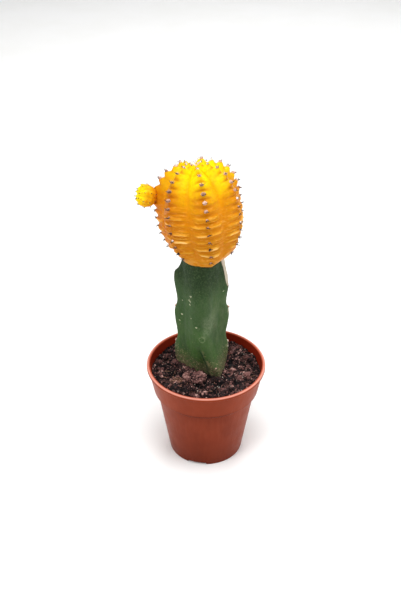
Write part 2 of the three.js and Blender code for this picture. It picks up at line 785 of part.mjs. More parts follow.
const headSkin = new RibbedSkin(HEAD);
const pupSkin = new RibbedSkin(PUP);

function makeScion() {
  const place = (point) => placeOnGraft(point, 0);
  const awayFromPup = (root) => root.distanceTo(PUP_CENTRE) > PUP_CLEAR_OF_SPINES;
  return fuse(headSkin.body(place), headSkin.spines(place, awayFromPup));
}

function makePup() {
  const headClear = headSkin.body((point) => placeOnGraft(point, SEAT_GAP));
  const pup = fuse(pupSkin.body(placePup), pupSkin.spines(placePup, () => true));
  return pup.subtract(headClear);
}

const group = new THREE.Group();
group.add(namedMesh('pot', makePot(), POT_FINISH));
group.add(namedMesh('soil', makeSoil(), SOIL_FINISH));
group.add(namedMesh('rootstock', makeRootstock(), STEM_FINISH));
group.add(namedMesh('scion', makeScion(), HEAD_FINISH));
group.add(namedMesh('pup', makePup(), PUP_FINISH));

export default group;
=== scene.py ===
import math
import random
from bisect import bisect_left

import bmesh
import bpy
from mathutils import Matrix, Vector, noise


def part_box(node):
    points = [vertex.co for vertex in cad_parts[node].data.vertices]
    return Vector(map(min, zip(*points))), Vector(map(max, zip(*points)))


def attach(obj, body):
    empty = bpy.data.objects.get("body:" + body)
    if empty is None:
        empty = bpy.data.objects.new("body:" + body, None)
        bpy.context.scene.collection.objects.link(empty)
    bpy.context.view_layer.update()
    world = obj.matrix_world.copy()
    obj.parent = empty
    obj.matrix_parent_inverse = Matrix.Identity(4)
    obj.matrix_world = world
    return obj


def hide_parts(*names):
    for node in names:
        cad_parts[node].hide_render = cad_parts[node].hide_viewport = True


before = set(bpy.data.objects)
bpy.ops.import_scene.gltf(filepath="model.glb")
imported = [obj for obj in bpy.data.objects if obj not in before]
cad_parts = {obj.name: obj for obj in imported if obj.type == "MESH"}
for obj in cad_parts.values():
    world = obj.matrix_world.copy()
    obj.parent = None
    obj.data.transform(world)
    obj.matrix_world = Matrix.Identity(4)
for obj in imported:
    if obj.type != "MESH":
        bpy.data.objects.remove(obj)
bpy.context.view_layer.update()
scene = bpy.context.scene
scene.view_settings.view_transform = "Standard"

# The camera stands in front of the plant, higher than its head, and looks down at the
# middle of the stem. Its place and view were fitted to the pot's ellipses.
CAMERA_PLACE = (0.0, -0.3584, 0.3198)
CAMERA_DOWN_DEG = 33.55
CAMERA_TURN_DEG = 0.41
CAMERA_SENSOR = 36.0
CAMERA_VIEW_DEG = 34.5
camera_data = bpy.data.cameras.new("camera")
camera_data.sensor_fit = "VERTICAL"
camera_data.sensor_height = CAMERA_SENSOR
camera_data.lens = CAMERA_SENSOR / 2 / math.tan(math.radians(CAMERA_VIEW_DEG / 2))
camera = bpy.data.objects.new("camera", camera_data)
camera.location = CAMERA_PLACE
camera.rotation_euler = (math.radians(90 - CAMERA_DOWN_DEG), 0, math.radians(CAMERA_TURN_DEG))
scene.collection.objects.link(camera)
scene.camera = camera


# The studio: a plain pale floor under a large soft lamp on the left, a weaker one on the
# right and an even white surround.
MM = 0.001


class Field:
    """A value over a surface, which a finish works out with its nodes."""

    def __init__(self, finish, socket):
        self.finish = finish
        self.socket = socket

    def math(self, operation, other):
        return self.finish.node("ShaderNodeMath", "Value", {0: self, 1: other}, operation=operation)

    def __add__(self, other):
        return self.math("ADD", other)

    def __mul__(self, other):
        return self.math("MULTIPLY", other)

    def ramp(self, low, high, to_low=0.0, to_high=1.0):
        feeds = {"Value": self, "From Min": low, "From Max": high, "To Min": to_low, "To Max": to_high}
        return self.finish.node("ShaderNodeMapRange", "Result", feeds, interpolation_type="SMOOTHSTEP")

    def relief(self, depth_mm, over=None):
        """Normals of the surface once this value has raised it."""
        feeds = {"Height": self, "Distance": depth_mm * MM, "Strength": 1.0}
        if over is not None:
            feeds["Normal"] = over
        return self.finish.node("ShaderNodeBump", "Normal", feeds)


def paint(colour):
    """A colour as it is seen, 0 to 255, turned into the shader's light values."""
    if isinstance(colour, Field):
        return colour
    seen = [value / 255 for value in colour]
    return (*(v / 12.92 if v <= 0.04045 else ((v + 0.055) / 1.055) ** 2.4 for v in seen), 1.0)


class Finish:
    """Builds one surface finish from nodes around its shader, with one colour over another."""

    def __init__(self, name, colour, **constants):
        self.material = bpy.data.materials.new(name)
        self.material.use_nodes = True
        self.tree = self.material.node_tree
        self.shader = self.tree.nodes["Principled BSDF"]
        self.colour = colour
        self.place = self.node("ShaderNodeTexCoord", "Object")
        for socket, value in constants.items():
            self.feed(self.shader.inputs[socket.replace("_", " ")], value)

    def node(self, kind, output, feeds=None, **settings):
        """Adds a node, and gives one of its outputs."""
        node = self.tree.nodes.new(kind)
        for name, value in settings.items():
            setattr(node, name, value)
        for socket, value in (feeds or {}).items():
            self.feed(node.inputs[socket], value)
        return Field(self, node.outputs[output])

    def feed(self, socket, value):
        if isinstance(value, Field):
            self.tree.links.new(value.socket, socket)
        else:
            socket.default_value = value

    def grain(self, size_mm, detail=3.0, roughness=0.55, stretch=None):
        """Cloudy grain of one size, from 0 to 1."""
        place = self.place
        if stretch is not None:
            place = self.node("ShaderNodeMapping", "Vector", {"Vector": place, "Scale": stretch})
        feeds = {"Vector": place, "Scale": 1 / (size_mm * MM), "Detail": detail, "Roughness": roughness}
        return self.node("ShaderNodeTexNoise", "Fac", feeds)

    def along(self, axis):
        return self.node("ShaderNodeSeparateXYZ", axis, {"Vector": self.place})

    def painted(self, name):
        return self.node("ShaderNodeAttribute", "Fac", attribute_name=name)

    def blend(self, share, first, second):
        feeds = {0: share, 6: paint(first), 7: paint(second)}
        return self.node("ShaderNodeMix", 2, feeds, data_type="RGBA", clamp_result=True)

    def coat(self, share, colour):
        self.colour = self.blend(share, self.colour, colour)

    def shade(self, **sockets):
        """Feeds the shader with the colour and what else is given, and ends the finish."""
        sockets["Base_Color"] = paint(self.colour)
        for socket, value in sockets.items():
            self.feed(self.shader.inputs[socket.replace("_", " ")], value)
        return self


FLOOR_SIZE = 3.0
floor_mesh = bmesh.new()
bmesh.ops.create_grid(floor_mesh, x_segments=1, y_segments=1, size=FLOOR_SIZE / 2)
floor_data = bpy.data.meshes.new("floor")
floor_mesh.to_mesh(floor_data)
floor_mesh.free()
floor = bpy.data.objects.new("floor", floor_data)
scene.collection.objects.link(floor)
card = Finish("floor_card", (252, 252, 251), Roughness=0.9, Specular_IOR_Level=0.1)
card.coat(card.grain(60.0).ramp(0.3, 0.7), (255, 255, 255))
floor_data.materials.append(card.shade().material)


def lamp(name, place, size, power, colour=(1.0, 1.0, 1.0)):
    light = bpy.data.lights.new(name, "AREA")
    light.shape = "DISK"
    light.size = size
    light.energy = power
    light.color = colour
    lamp_object = bpy.data.objects.new(name, light)
    lamp_object.location = place
    lamp_object.rotation_euler = (PLANT_MIDDLE - Vector(place)).to_track_quat("-Z", "Y").to_euler()
    scene.collection.objects.link(lamp_object)


PLANT_MIDDLE = Vector((0.0, 0.0, 0.09))
lamp("lamp_top", (0.03, -0.12, 0.85), 0.40, 3.8, (1.0, 1.0, 0.99))
lamp("lamp_left", (-0.42, -0.40, 0.62), 0.40, 2.2, (1.0, 0.99, 0.97))
lamp("lamp_right", (0.60, -0.30, 0.40), 0.50, 1.5, (0.98, 0.99, 1.0))
lamp("lamp_back", (0.10, 0.60, 0.55), 0.50, 1.6)
lamp("lamp_side_left", (-0.80, 0.10, 0.22), 0.45, 0.8)
lamp("lamp_side_right", (0.80, 0.10, 0.22), 0.45, 1.1)
world = bpy.data.worlds.new("surround")
scene.world = world
world.use_nodes = True
surround = world.node_tree.nodes["Background"]
surround.inputs["Color"].default_value = (1.0, 1.0, 1.0, 1.0)
surround.inputs["Strength"].default_value = 0.42


# The nursery pot: one thin moulding of terracotta-coloured plastic, with a rolled lip, a
# tapered collar and step, and three low drain channels with holes under its floor.
def lerp(first, second, share):
    return first + (second - first) * share


def heading(azimuth_deg, radius=1.0, height=0.0):
    """Point at an azimuth, measured from the front towards the right."""
    angle = math.radians(azimuth_deg)
    return Vector((radius * math.sin(angle), -radius * math.cos(angle), height))


def arc(middle, radius, start_deg, end_deg, steps):
    points = []
    for step in range(steps + 1):
        angle = math.radians(lerp(start_deg, end_deg, step / steps))
        points.append((middle[0] + radius * math.cos(angle), middle[1] + radius * math.sin(angle)))
    return points


def in_metres(shape, name):
    """Turns a shape in millimetres into an object in metres."""
    bmesh.ops.scale(shape, vec=(MM, MM, MM), verts=shape.verts)
    mesh = bpy.data.meshes.new(name)
    shape.to_mesh(mesh)
    shape.free()
    made = bpy.data.objects.new(name, mesh)
    scene.collection.objects.link(made)
    return made


def new_piece(shape, name, node, finish, sharp_deg=None):
    piece = in_metres(shape, name)
    piece.data.shade_smooth()
    if sharp_deg is not None:
        piece.data.set_sharp_from_angle(angle=math.radians(sharp_deg))
    piece.data.materials.append(finish.material)
    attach(piece, "root")
    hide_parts(node)
    return piece


pot_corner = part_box("pot")[1]
POT_HEIGHT = pot_corner.z / MM
POT_LIP_RADIUS = pot_corner.x / MM
POT_LIP_WIDTH = 1.5
POT_LIP_HEIGHT = 1.7
POT_LIP_ROUNDING = 0.55
POT_COLLAR_TOP_RADIUS = 26.8
POT_COLLAR_FOOT_RADIUS = 24.5
POT_COLLAR_DEPTH = 13.2
POT_COLLAR_ROUNDING = 0.45
POT_WALL_TOP_RADIUS = 23.0
POT_FOOT_RADIUS = 17.4
POT_WALL = 0.9
POT_FLOOR = 1.0
POT_FOOT_ROUNDING = 0.4
POT_STEPS = 192
POT_SHARP_DEG = 35
CHANNEL_AZIMUTHS = (-14, 106, -134)
CHANNEL_WIDTH_DEG = 30
CHANNEL_HEIGHT = 1.2
CHANNEL_INNER_RADIUS = 8.0
DRAIN_HOLE_RADIUS = 2.2
DRAIN_HOLE_CENTRE = 12.6
DRAIN_HOLE_DEPTH = 8
POT_SHOULDER = POT_HEIGHT - POT_COLLAR_DEPTH


def pot_wall_radius(height):
    """Outer radius of the lower wall."""
    return lerp(POT_FOOT_RADIUS, POT_WALL_TOP_RADIUS, height / POT_SHOULDER)


def pot_collar_radius(height):
    """Outer radius of the collar."""
    share = (height - POT_SHOULDER) / (POT_HEIGHT - POT_LIP_HEIGHT - POT_SHOULDER)
    return lerp(POT_COLLAR_FOOT_RADIUS, POT_COLLAR_TOP_RADIUS, share)


def spun_pot():
    lip_bottom = POT_HEIGHT - POT_LIP_HEIGHT
    lip_inner = POT_LIP_RADIUS - POT_LIP_WIDTH
    rounding = POT_LIP_ROUNDING
    inner_rounding = rounding * 0.7
    outline = [(0, 0)]
    foot_corner = (POT_FOOT_RADIUS - POT_FOOT_ROUNDING, POT_FOOT_ROUNDING)
    outline += arc(foot_corner, POT_FOOT_ROUNDING, -90, 0, 4)
    outline += [(POT_WALL_TOP_RADIUS, POT_SHOULDER)]
    collar_corner = (POT_COLLAR_FOOT_RADIUS - POT_COLLAR_ROUNDING, POT_SHOULDER + POT_COLLAR_ROUNDING)
    outline += arc(collar_corner, POT_COLLAR_ROUNDING, -90, 0, 5)
    outline += [(POT_COLLAR_TOP_RADIUS - 0.05, lip_bottom)]
    outline += arc((POT_LIP_RADIUS - rounding, lip_bottom + rounding), rounding, -60, 0, 4)
    outline += arc((POT_LIP_RADIUS - rounding, POT_HEIGHT - rounding), rounding, 0, 90, 6)
    outline += arc((lip_inner + inner_rounding, POT_HEIGHT - inner_rounding), inner_rounding, 90, 180, 5)
    outline += [(pot_collar_radius(POT_SHOULDER) - POT_WALL, POT_SHOULDER)]
    outline += [(POT_WALL_TOP_RADIUS - POT_WALL, POT_SHOULDER - POT_WALL)]
    outline += [(pot_wall_radius(POT_FLOOR) - POT_WALL, POT_FLOOR), (0, POT_FLOOR)]
    shape = bmesh.new()
    corners = [shape.verts.new((radius, 0, height)) for radius, height in outline]
    edges = [shape.edges.new(pair) for pair in zip(corners, corners[1:])]
    bmesh.ops.spin(
        shape, geom=corners + edges, axis=(0, 0, 1), angle=2 * math.pi, steps=POT_STEPS, use_merge=True,
    )
    bmesh.ops.remove_doubles(shape, verts=shape.verts, dist=0.001)
    bmesh.ops.recalc_face_normals(shape, faces=shape.faces)
    return shape


def sector_block(azimuth, width_deg, inner, outer, bottom, top):
    """A block between two radii, spun through the width of a drain channel."""
    shape = bmesh.new()
    start = azimuth - width_deg / 2
    corners = [(inner, bottom), (outer, bottom), (outer, top), (inner, top)]
    face = shape.faces.new([shape.verts.new(heading(start, *corner)) for corner in corners])
    turned = [face, *face.edges, *face.verts]
    bmesh.ops.spin(shape, geom=turned, axis=(0, 0, 1), angle=math.radians(width_deg), steps=16)
    bmesh.ops.recalc_face_normals(shape, faces=shape.faces)
    return shape


def join_or_cut(piece, shape, operation):
    """Adds a shape in millimetres to a piece, or takes it away, and keeps the result."""
    tool = in_metres(shape, "cutter")
    modifier = piece.modifiers.new("cut", "BOOLEAN")
    modifier.operation = operation
    modifier.solver = "EXACT"
    modifier.object = tool
    bpy.context.view_layer.update()
    done = bpy.data.meshes.new_from_object(piece.evaluated_get(bpy.context.evaluated_depsgraph_get()))
    piece.modifiers.clear()
    piece.data = done
    bpy.data.objects.remove(tool)


def pot_finish():
    plastic = Finish("terracotta_plastic", (117, 45, 24), Specular_IOR_Level=0.05)
    across, depth, height = (plastic.along(axis) for axis in "XYZ")
    plastic.coat(plastic.grain(14.0, 2.0).ramp(0.35, 0.65), (127, 51, 29))
    drawn = plastic.grain(1.6, 3.0, 0.6, (1.0, 1.0, 0.06)).ramp(0.35, 0.75)
    plastic.coat(drawn * 0.12, (158, 76, 52))
    # The wall is painted darker towards its foot: painted shade.
    plastic.coat(height.ramp(0.024, 0.0, 0.0, 0.5), (88, 30, 14))
    # The collar is painted lighter than the wall below it: painted light.
    plastic.coat(height.ramp(0.0345, 0.037, 0.0, 0.3), (152, 64, 36))
    # Both sides of the pot are painted paler towards its outline: a painted reflection of the side
    # lamps.
    to_side = across.math("ABSOLUTE", 0.0)
    plastic.coat(to_side.ramp(0.009, 0.020, 0.0, 0.35), (152, 70, 44))
    # The inside of the collar is painted a darker, deeper red: painted shade and painted light bounced
    # inside the pot.
    inner = plastic.painted("inside")
    plastic.coat(inner * 0.9, (132, 34, 16))
    # A dark line is painted under the collar's step, strongest at the front and fading to the sides:
    # painted shadow.
    corner = height.ramp(0.0330, 0.0344) * to_side.ramp(0.008, 0.016, 0.8, 0.15)
    corner = corner * height.ramp(0.0349, 0.0353, 1.0, 0.0) * (inner * -1.0 + 1.0)
    plastic.coat(corner, (70, 24, 14))
    # The top of the lip is painted paler, with a pale pink line along its outer edge: painted
    # highlights.
    lip = height.ramp((POT_HEIGHT - 0.5) * MM, (POT_HEIGHT - 0.12) * MM)
    plastic.coat(lip * 0.45, (206, 98, 72))
    reach = (across * across + depth * depth).math("POWER", 0.5)
    outer_line = reach.ramp((POT_LIP_RADIUS - 1.05) * MM, (POT_LIP_RADIUS - 0.7) * MM)
    plastic.coat(lip * outer_line * 0.55, (240, 172, 154))
    dust = plastic.grain(0.55, 3.0, 0.7).ramp(0.66, 0.74)
    dust = dust * (height.ramp(0.004, 0.0, 0.0, 0.5) + inner.ramp(0.3, 0.9, 0.0, 0.5))
    plastic.coat(dust, (66, 40, 34))
    normal = drawn.relief(0.03, plastic.grain(0.35, 2.0, 0.6).relief(0.018))
    shine = plastic.grain(5.0, 4.0, 0.6).ramp(0.3, 0.7, 0.30, 0.42)
    return plastic.shade(Roughness=shine, Normal=normal)


pot = new_piece(spun_pot(), "pot_moulding", "pot", pot_finish())
CHANNEL_PAD_DEG = CHANNEL_WIDTH_DEG + math.degrees(2 * POT_WALL / CHANNEL_INNER_RADIUS)
CHANNEL_PAD_RADII = (CHANNEL_INNER_RADIUS - POT_WALL, POT_FOOT_RADIUS - 0.3)
CHANNEL_PAD_HEIGHTS = (POT_FLOOR / 2, CHANNEL_HEIGHT + POT_FLOOR)
CHANNEL_RADII = (CHANNEL_INNER_RADIUS, POT_LIP_RADIUS)
CHANNEL_HEIGHTS = (-CHANNEL_HEIGHT, CHANNEL_HEIGHT)
for channel_azimuth in CHANNEL_AZIMUTHS:
    pad = sector_block(channel_azimuth, CHANNEL_PAD_DEG, *CHANNEL_PAD_RADII, *CHANNEL_PAD_HEIGHTS)
    join_or_cut(pot, pad, "UNION")
    channel = sector_block(channel_azimuth, CHANNEL_WIDTH_DEG, *CHANNEL_RADII, *CHANNEL_HEIGHTS)
    join_or_cut(pot, channel, "DIFFERENCE")
    drain = bmesh.new()
    bmesh.ops.create_cone(
        drain, cap_ends=True, segments=32, radius1=DRAIN_HOLE_RADIUS, radius2=DRAIN_HOLE_RADIUS,
        depth=DRAIN_HOLE_DEPTH, matrix=Matrix.Translation(heading(channel_azimuth, DRAIN_HOLE_CENTRE)),
    )
    join_or_cut(pot, drain, "DIFFERENCE")
# The collar's inner side, which is seen above the peat, is marked for painted shade: a darker, deeper
# red for the shade and the reddened light inside the pot
INSIDE_HEIGHTS = (34, POT_HEIGHT - 0.2)
INSIDE_BEYOND_WALL = 0.3
INSIDE_WITHIN_COLLAR = 0.6
inside = pot.data.attributes.new("inside", "FLOAT", "POINT")
for index, vertex in enumerate(pot.data.vertices):
    wall_height = vertex.co.z / MM
    wall_reach = math.hypot(vertex.co.x, vertex.co.y) / MM
    beyond_wall = wall_reach > POT_WALL_TOP_RADIUS + INSIDE_BEYOND_WALL
    within_collar = wall_reach < pot_collar_radius(wall_height) - INSIDE_WITHIN_COLLAR
    is_seen = INSIDE_HEIGHTS[0] < wall_height < INSIDE_HEIGHTS[1]
    inside.data[index].value = 1.0 if beyond_wall and within_collar and is_seen else 0.0
pot.data.shade_smooth()
pot.data.set_sharp_from_angle(angle=math.radians(POT_SHARP_DEG))


# The rootstock: a cut length of a three-winged climbing cactus, dark green and fleshy. Its
# scalloped margins have small woolly areoles, and its top is trimmed back for the graft.
STEM_PLACE = Vector((-2.2, 3.3, 0))
STEM_FOOT = 20.0
STEM_TOP = 102.7
STEM_WING_RADIUS = 13.2
STEM_SCALLOP = 0.75
STEM_PITCH = 19.2
STEM_FALL = 0.66
STEM_BUTT_HEIGHT = 7.0
STEM_BUTT_SCALE = 0.72
STEM_TURN_TOP = 66.0
STEM_TURN_FOOT = 41.0
STEM_FRONT_TURN = 44.0
# The front, right and left wings: reach at the graft, the height it's trimmed from, and then
# how much shorter the wing is, the valley to its right, and how narrow it is to its left and
# right, above and at the peat
SIDE_WING = dict(crest=70.4, shorter=(0, 0), valley=(7.4, 5.8), left=(2.3, 1.9), right=(2.3, 1.9))
STEM_WINGS = (
    dict(
        azimuth=1, crest=66.0, trim=8.2, trim_from=85.0, shorter=(1.0, 1.8),
        valley=(7.4, 10.8), left=(1.7, 8.0), right=(1.7, 1.3),
    ),
    dict(SIDE_WING, azimuth=117, trim=12.0, trim_from=85.0),
    dict(SIDE_WING, azimuth=239, trim=8.0, trim_from=92.0),
)
# The old left flank of the front wing, which stays behind a crease as the wing turns away
STEM_FLANK_AZIMUTH = 354.0
STEM_FLANK_WIDTH = 120.0
STEM_FLANK_POWER = 3.4
STEM_FLANK_REACH = (11.4, 5.8)
STEM_FLANK_EASE = 1.0
STEM_CREASE_DEPTH = 0.55
STEM_CREASE_LEFT_DEG = (3.5, 19.0)
STEM_CREASE_WIDTH_DEG = 3.2
STEM_AREOLE_ABOVE_CREST = 2.2
STEM_COLUMNS = 240
STEM_ROWS = 264
GRAFT_HEIGHT = STEM_TOP + 0.3
# The flat cut along the top of the right wing, dried to pale cork
STEM_CUT_AZIMUTH = 79.0
STEM_CUT_REACH = 8.1
STEM_CUT_SLOPE = 0.16
STEM_CUT_FROM = 85.0
# Pale specks on the stem: azimuth, height, size
STEM_SPECKS = (
    (-31.9, 87.0, 0.56), (-45.4, 83.7, 0.40), (-33.9, 84.4, 0.72), (-91.3, 72.4, 0.62),
    (-96.9, 68.4, 0.50), (-11.1, 72.8, 0.64), (-90.4, 80.1, 0.36), (-26.9, 87.6, 0.34),
    (-37.0, 85.2, 0.34), (-34.0, 82.6, 0.58), (-28.0, 76.0, 0.30), (95.1, 84.4, 0.40),
)
# The ring-shaped scar of an areole on the front wing: azimuth, height, radius
STEM_RING = (1.7, 67.3, 1.2)


def clamp(value, low, high):
    return max(low, min(high, value))


def smoothstep(value, low, high):
    share = clamp((value - low) / (high - low), 0, 1)
    return share * share * (3 - 2 * share)


def stem_foot_share(height):
    """How far the stem's form has changed: 0 above, 1 at the peat."""
    return 1 - smoothstep(height, STEM_TURN_FOOT, STEM_TURN_TOP)


def wing_azimuth(wing, height):
    turn = STEM_FRONT_TURN * stem_foot_share(height) if wing == 0 else 0
    return STEM_WINGS[wing]["azimuth"] + turn


def wing_reach(wing, height):
    """Reach of a wing's margin: it swells under each areole and narrows down to the next."""
    turns = (STEM_WINGS[wing]["crest"] - max(height, STEM_TURN_FOOT)) / STEM_PITCH
    phase = turns - math.floor(turns)
    if phase < STEM_FALL:
        wave = math.cos(math.pi * phase / STEM_FALL)
    else:
        wave = -math.cos(math.pi * (phase - STEM_FALL) / (1 - STEM_FALL))
    start = STEM_WINGS[wing]["trim_from"]
    trimmed = clamp((height - start) / (STEM_TOP - start), 0, 1)
    shorter = lerp(*STEM_WINGS[wing]["shorter"], stem_foot_share(height))
    return lerp(STEM_WING_RADIUS - shorter + STEM_SCALLOP * wave, STEM_WINGS[wing]["trim"], trimmed)


def soft_max(first, second, width):
    """The larger of two values, eased where they are nearly the same."""
    share = clamp(0.5 + (first - second) / (2 * width), 0, 1)
    return lerp(second, first, share) + width * share * (1 - share)


def stem_skin_at(wing, share, height):
    """Point on the skin from one wing's margin (0) to the next one's (1), with how far out
    on a wing it is, its azimuth, how far the flat cut has taken it back, and its crease."""
    following = (wing + 1) % 3
    near, side = (wing, "right") if share < 0.5 else (following, "left")
    foot_share = stem_foot_share(height)
    valley = lerp(*STEM_WINGS[wing]["valley"], foot_share)
    sharpness = lerp(*STEM_WINGS[near][side], foot_share)
    lobe = math.cos(math.pi * min(share, 1 - share)) ** (2 * sharpness)
    butt_share = clamp((height - STEM_FOOT) / STEM_BUTT_HEIGHT, 0, 1)
    butt = lerp(STEM_BUTT_SCALE, 1, math.sqrt(butt_share))
    start = wing_azimuth(wing, height)
    end = wing_azimuth(following, height) + (360 if following == 0 else 0)
    azimuth = lerp(start, end, share)
    off_flank = clamp(abs(azimuth - STEM_FLANK_AZIMUTH) / STEM_FLANK_WIDTH, 0, 0.5)
    flank = math.cos(math.pi * off_flank) ** STEM_FLANK_POWER
    wing_radius = lerp(valley, wing_reach(near, height), lobe)
    flank_reach = min(lerp(*STEM_FLANK_REACH, foot_share), wing_reach(0, height))
    flank_radius = lerp(valley, flank_reach, flank)
    off_crease = azimuth - wing_azimuth(0, height) - 360
    off_crease += lerp(*STEM_CREASE_LEFT_DEG, math.sqrt(foot_share))
    crease = math.exp(-(off_crease / STEM_CREASE_WIDTH_DEG) ** 2) * smoothstep(foot_share, 0.01, 0.25)
    radius = butt * soft_max(wing_radius, flank_radius, STEM_FLANK_EASE)
    place = heading(azimuth, radius - STEM_CREASE_DEPTH * crease, height)
    cut = heading(STEM_CUT_AZIMUTH)
    over = place.dot(cut) - STEM_CUT_REACH - (STEM_TOP - height) * STEM_CUT_SLOPE
    if height < STEM_CUT_FROM:
        over = 0
    place -= cut * max(over, 0)
    return place + STEM_PLACE, lobe, azimuth, over, crease


def stem_radius(azimuth, height):
    """Radius of the stem about its own axis at an azimuth."""
    azimuths = [wing_azimuth(wing, height) for wing in range(3)]
    turned = azimuths[0] + (azimuth - azimuths[0]) % 360
    wing = max(index for index in range(3) if azimuths[index] <= turned)
    end = azimuths[wing + 1] if wing < 2 else azimuths[0] + 360
    share = (turned - azimuths[wing]) / (end - azimuths[wing])
    return (stem_skin_at(wing, share, height)[0] - STEM_PLACE).xy.length


def on_stem(azimuth, height):
    return heading(azimuth, stem_radius(azimuth, height), height) + STEM_PLACE


def drawn_out(shape, edges):
    """Draws an open edge out with new faces, and gives its new points."""
    drawn = bmesh.ops.extrude_edge_only(shape, edges=edges)
    return [item for item in drawn["geom"] if isinstance(item, bmesh.types.BMVert)]


def close_end(shape, edges, middle):
    """Closes an open end with faces that meet in the middle."""
    inner = drawn_out(shape, edges)
    for vertex in inner:
        vertex.co = middle
    bmesh.ops.remove_doubles(shape, verts=inner, dist=0.001)


def open_edges(shape):
    return [edge for edge in shape.edges if edge.is_boundary]


def dry_margin(wing, share, height):
    """How dry and corky a wing's margin is: just under each areole of the side wings."""
    near = wing if share < 0.5 else (wing + 1) % 3
    turns = (STEM_WINGS[near]["crest"] + STEM_AREOLE_ABOVE_CREST - height) / STEM_PITCH
    below = (turns - math.floor(turns)) * STEM_PITCH
    strength = (0.4 * (1 - smoothstep(height, 55, 62)), 1.0, 0.8)[near]
    above = 0.35 * smoothstep(below, STEM_PITCH - 1.5, STEM_PITCH)
    return strength * max(1 - smoothstep(below, 1.2, 5.0), above)


def marked_shape(*names):
    """An empty shape, and its marks: values that its points keep for the finish."""
    shape = bmesh.new()
    return shape, *(shape.verts.layers.float.new(name) for name in names)


def stem_shape():
    shape, *marks = marked_shape("margin", "cut", "speck", "ring", "scab", "crease", "tan")
    bmesh.ops.create_grid(shape, x_segments=STEM_COLUMNS, y_segments=STEM_ROWS, size=1)
    specks = [(on_stem(azimuth, height), size) for azimuth, height, size in STEM_SPECKS]
    ring_middle = on_stem(*STEM_RING[:2])
    for vertex in shape.verts:
        around = 1.5 * (vertex.co.x + 1)
        wing = int(min(around, 2.999999))
        height = lerp(STEM_FOOT, GRAFT_HEIGHT, (vertex.co.y + 1) / 2)
        point, lobe, azimuth, over, crease = stem_skin_at(wing, around - wing, height)
        rough = noise.fractal(point * 0.22, 1.0, 2.0, 3) * 0.16 + noise.noise(point * 1.4) * 0.045
        to_ring = (point - ring_middle).length
        wobble = STEM_RING[2] + 0.7 * noise.noise(point * 0.9)
        ring = 1 - smoothstep(abs(to_ring - wobble), 0.1, 0.4)
        ring *= smoothstep(noise.noise(point * 2.1), -0.35, 0.25)
        scab = (1 - smoothstep(to_ring, 0.6, 1.1)) * smoothstep(noise.noise(point * 2.6), 0.0, 0.25)
        speck = 0
        for place, size in specks:
            offset = point - place
            offset.y *= 0.4
            offset.z *= 1.4
            speck = max(speck, clamp(1.6 - 2 * offset.length / size, 0, 1))
        narrow = lerp(1.1, 2.2, smoothstep(height, 66, 76))
        margin = lobe ** narrow * dry_margin(wing, around - wing, height)
        foot_share = stem_foot_share(height)
        off_streak = azimuth - wing_azimuth(0, height) - 358 + 12 * foot_share
        beside = math.exp(-(off_streak / 4) ** 2) * smoothstep(foot_share, 0.05, 0.3)
        tan = beside * smoothstep(noise.noise(point * 0.9), -0.1, 0.25)
        values = (margin, smoothstep(over, 0.0, 0.35), speck, ring, scab, crease, tan)
        for mark, value in zip(marks, values):
            vertex[mark] = value
        vertex.co = point + heading(azimuth) * (rough + 0.1 * speck + 0.12 * ring)
    bmesh.ops.remove_doubles(shape, verts=shape.verts, dist=0.0005)
    for height in (STEM_FOOT, GRAFT_HEIGHT):
        end = [edge for edge in open_edges(shape) if abs(edge.verts[0].co.z - height) < 1]
        close_end(shape, end, STEM_PLACE + Vector((0, 0, height)))
    for vertex in shape.verts:
        if (vertex.co - STEM_PLACE).xy.length < 1:
            vertex[marks[1]] = 0
    bmesh.ops.recalc_face_normals(shape, faces=shape.faces)
    return shape


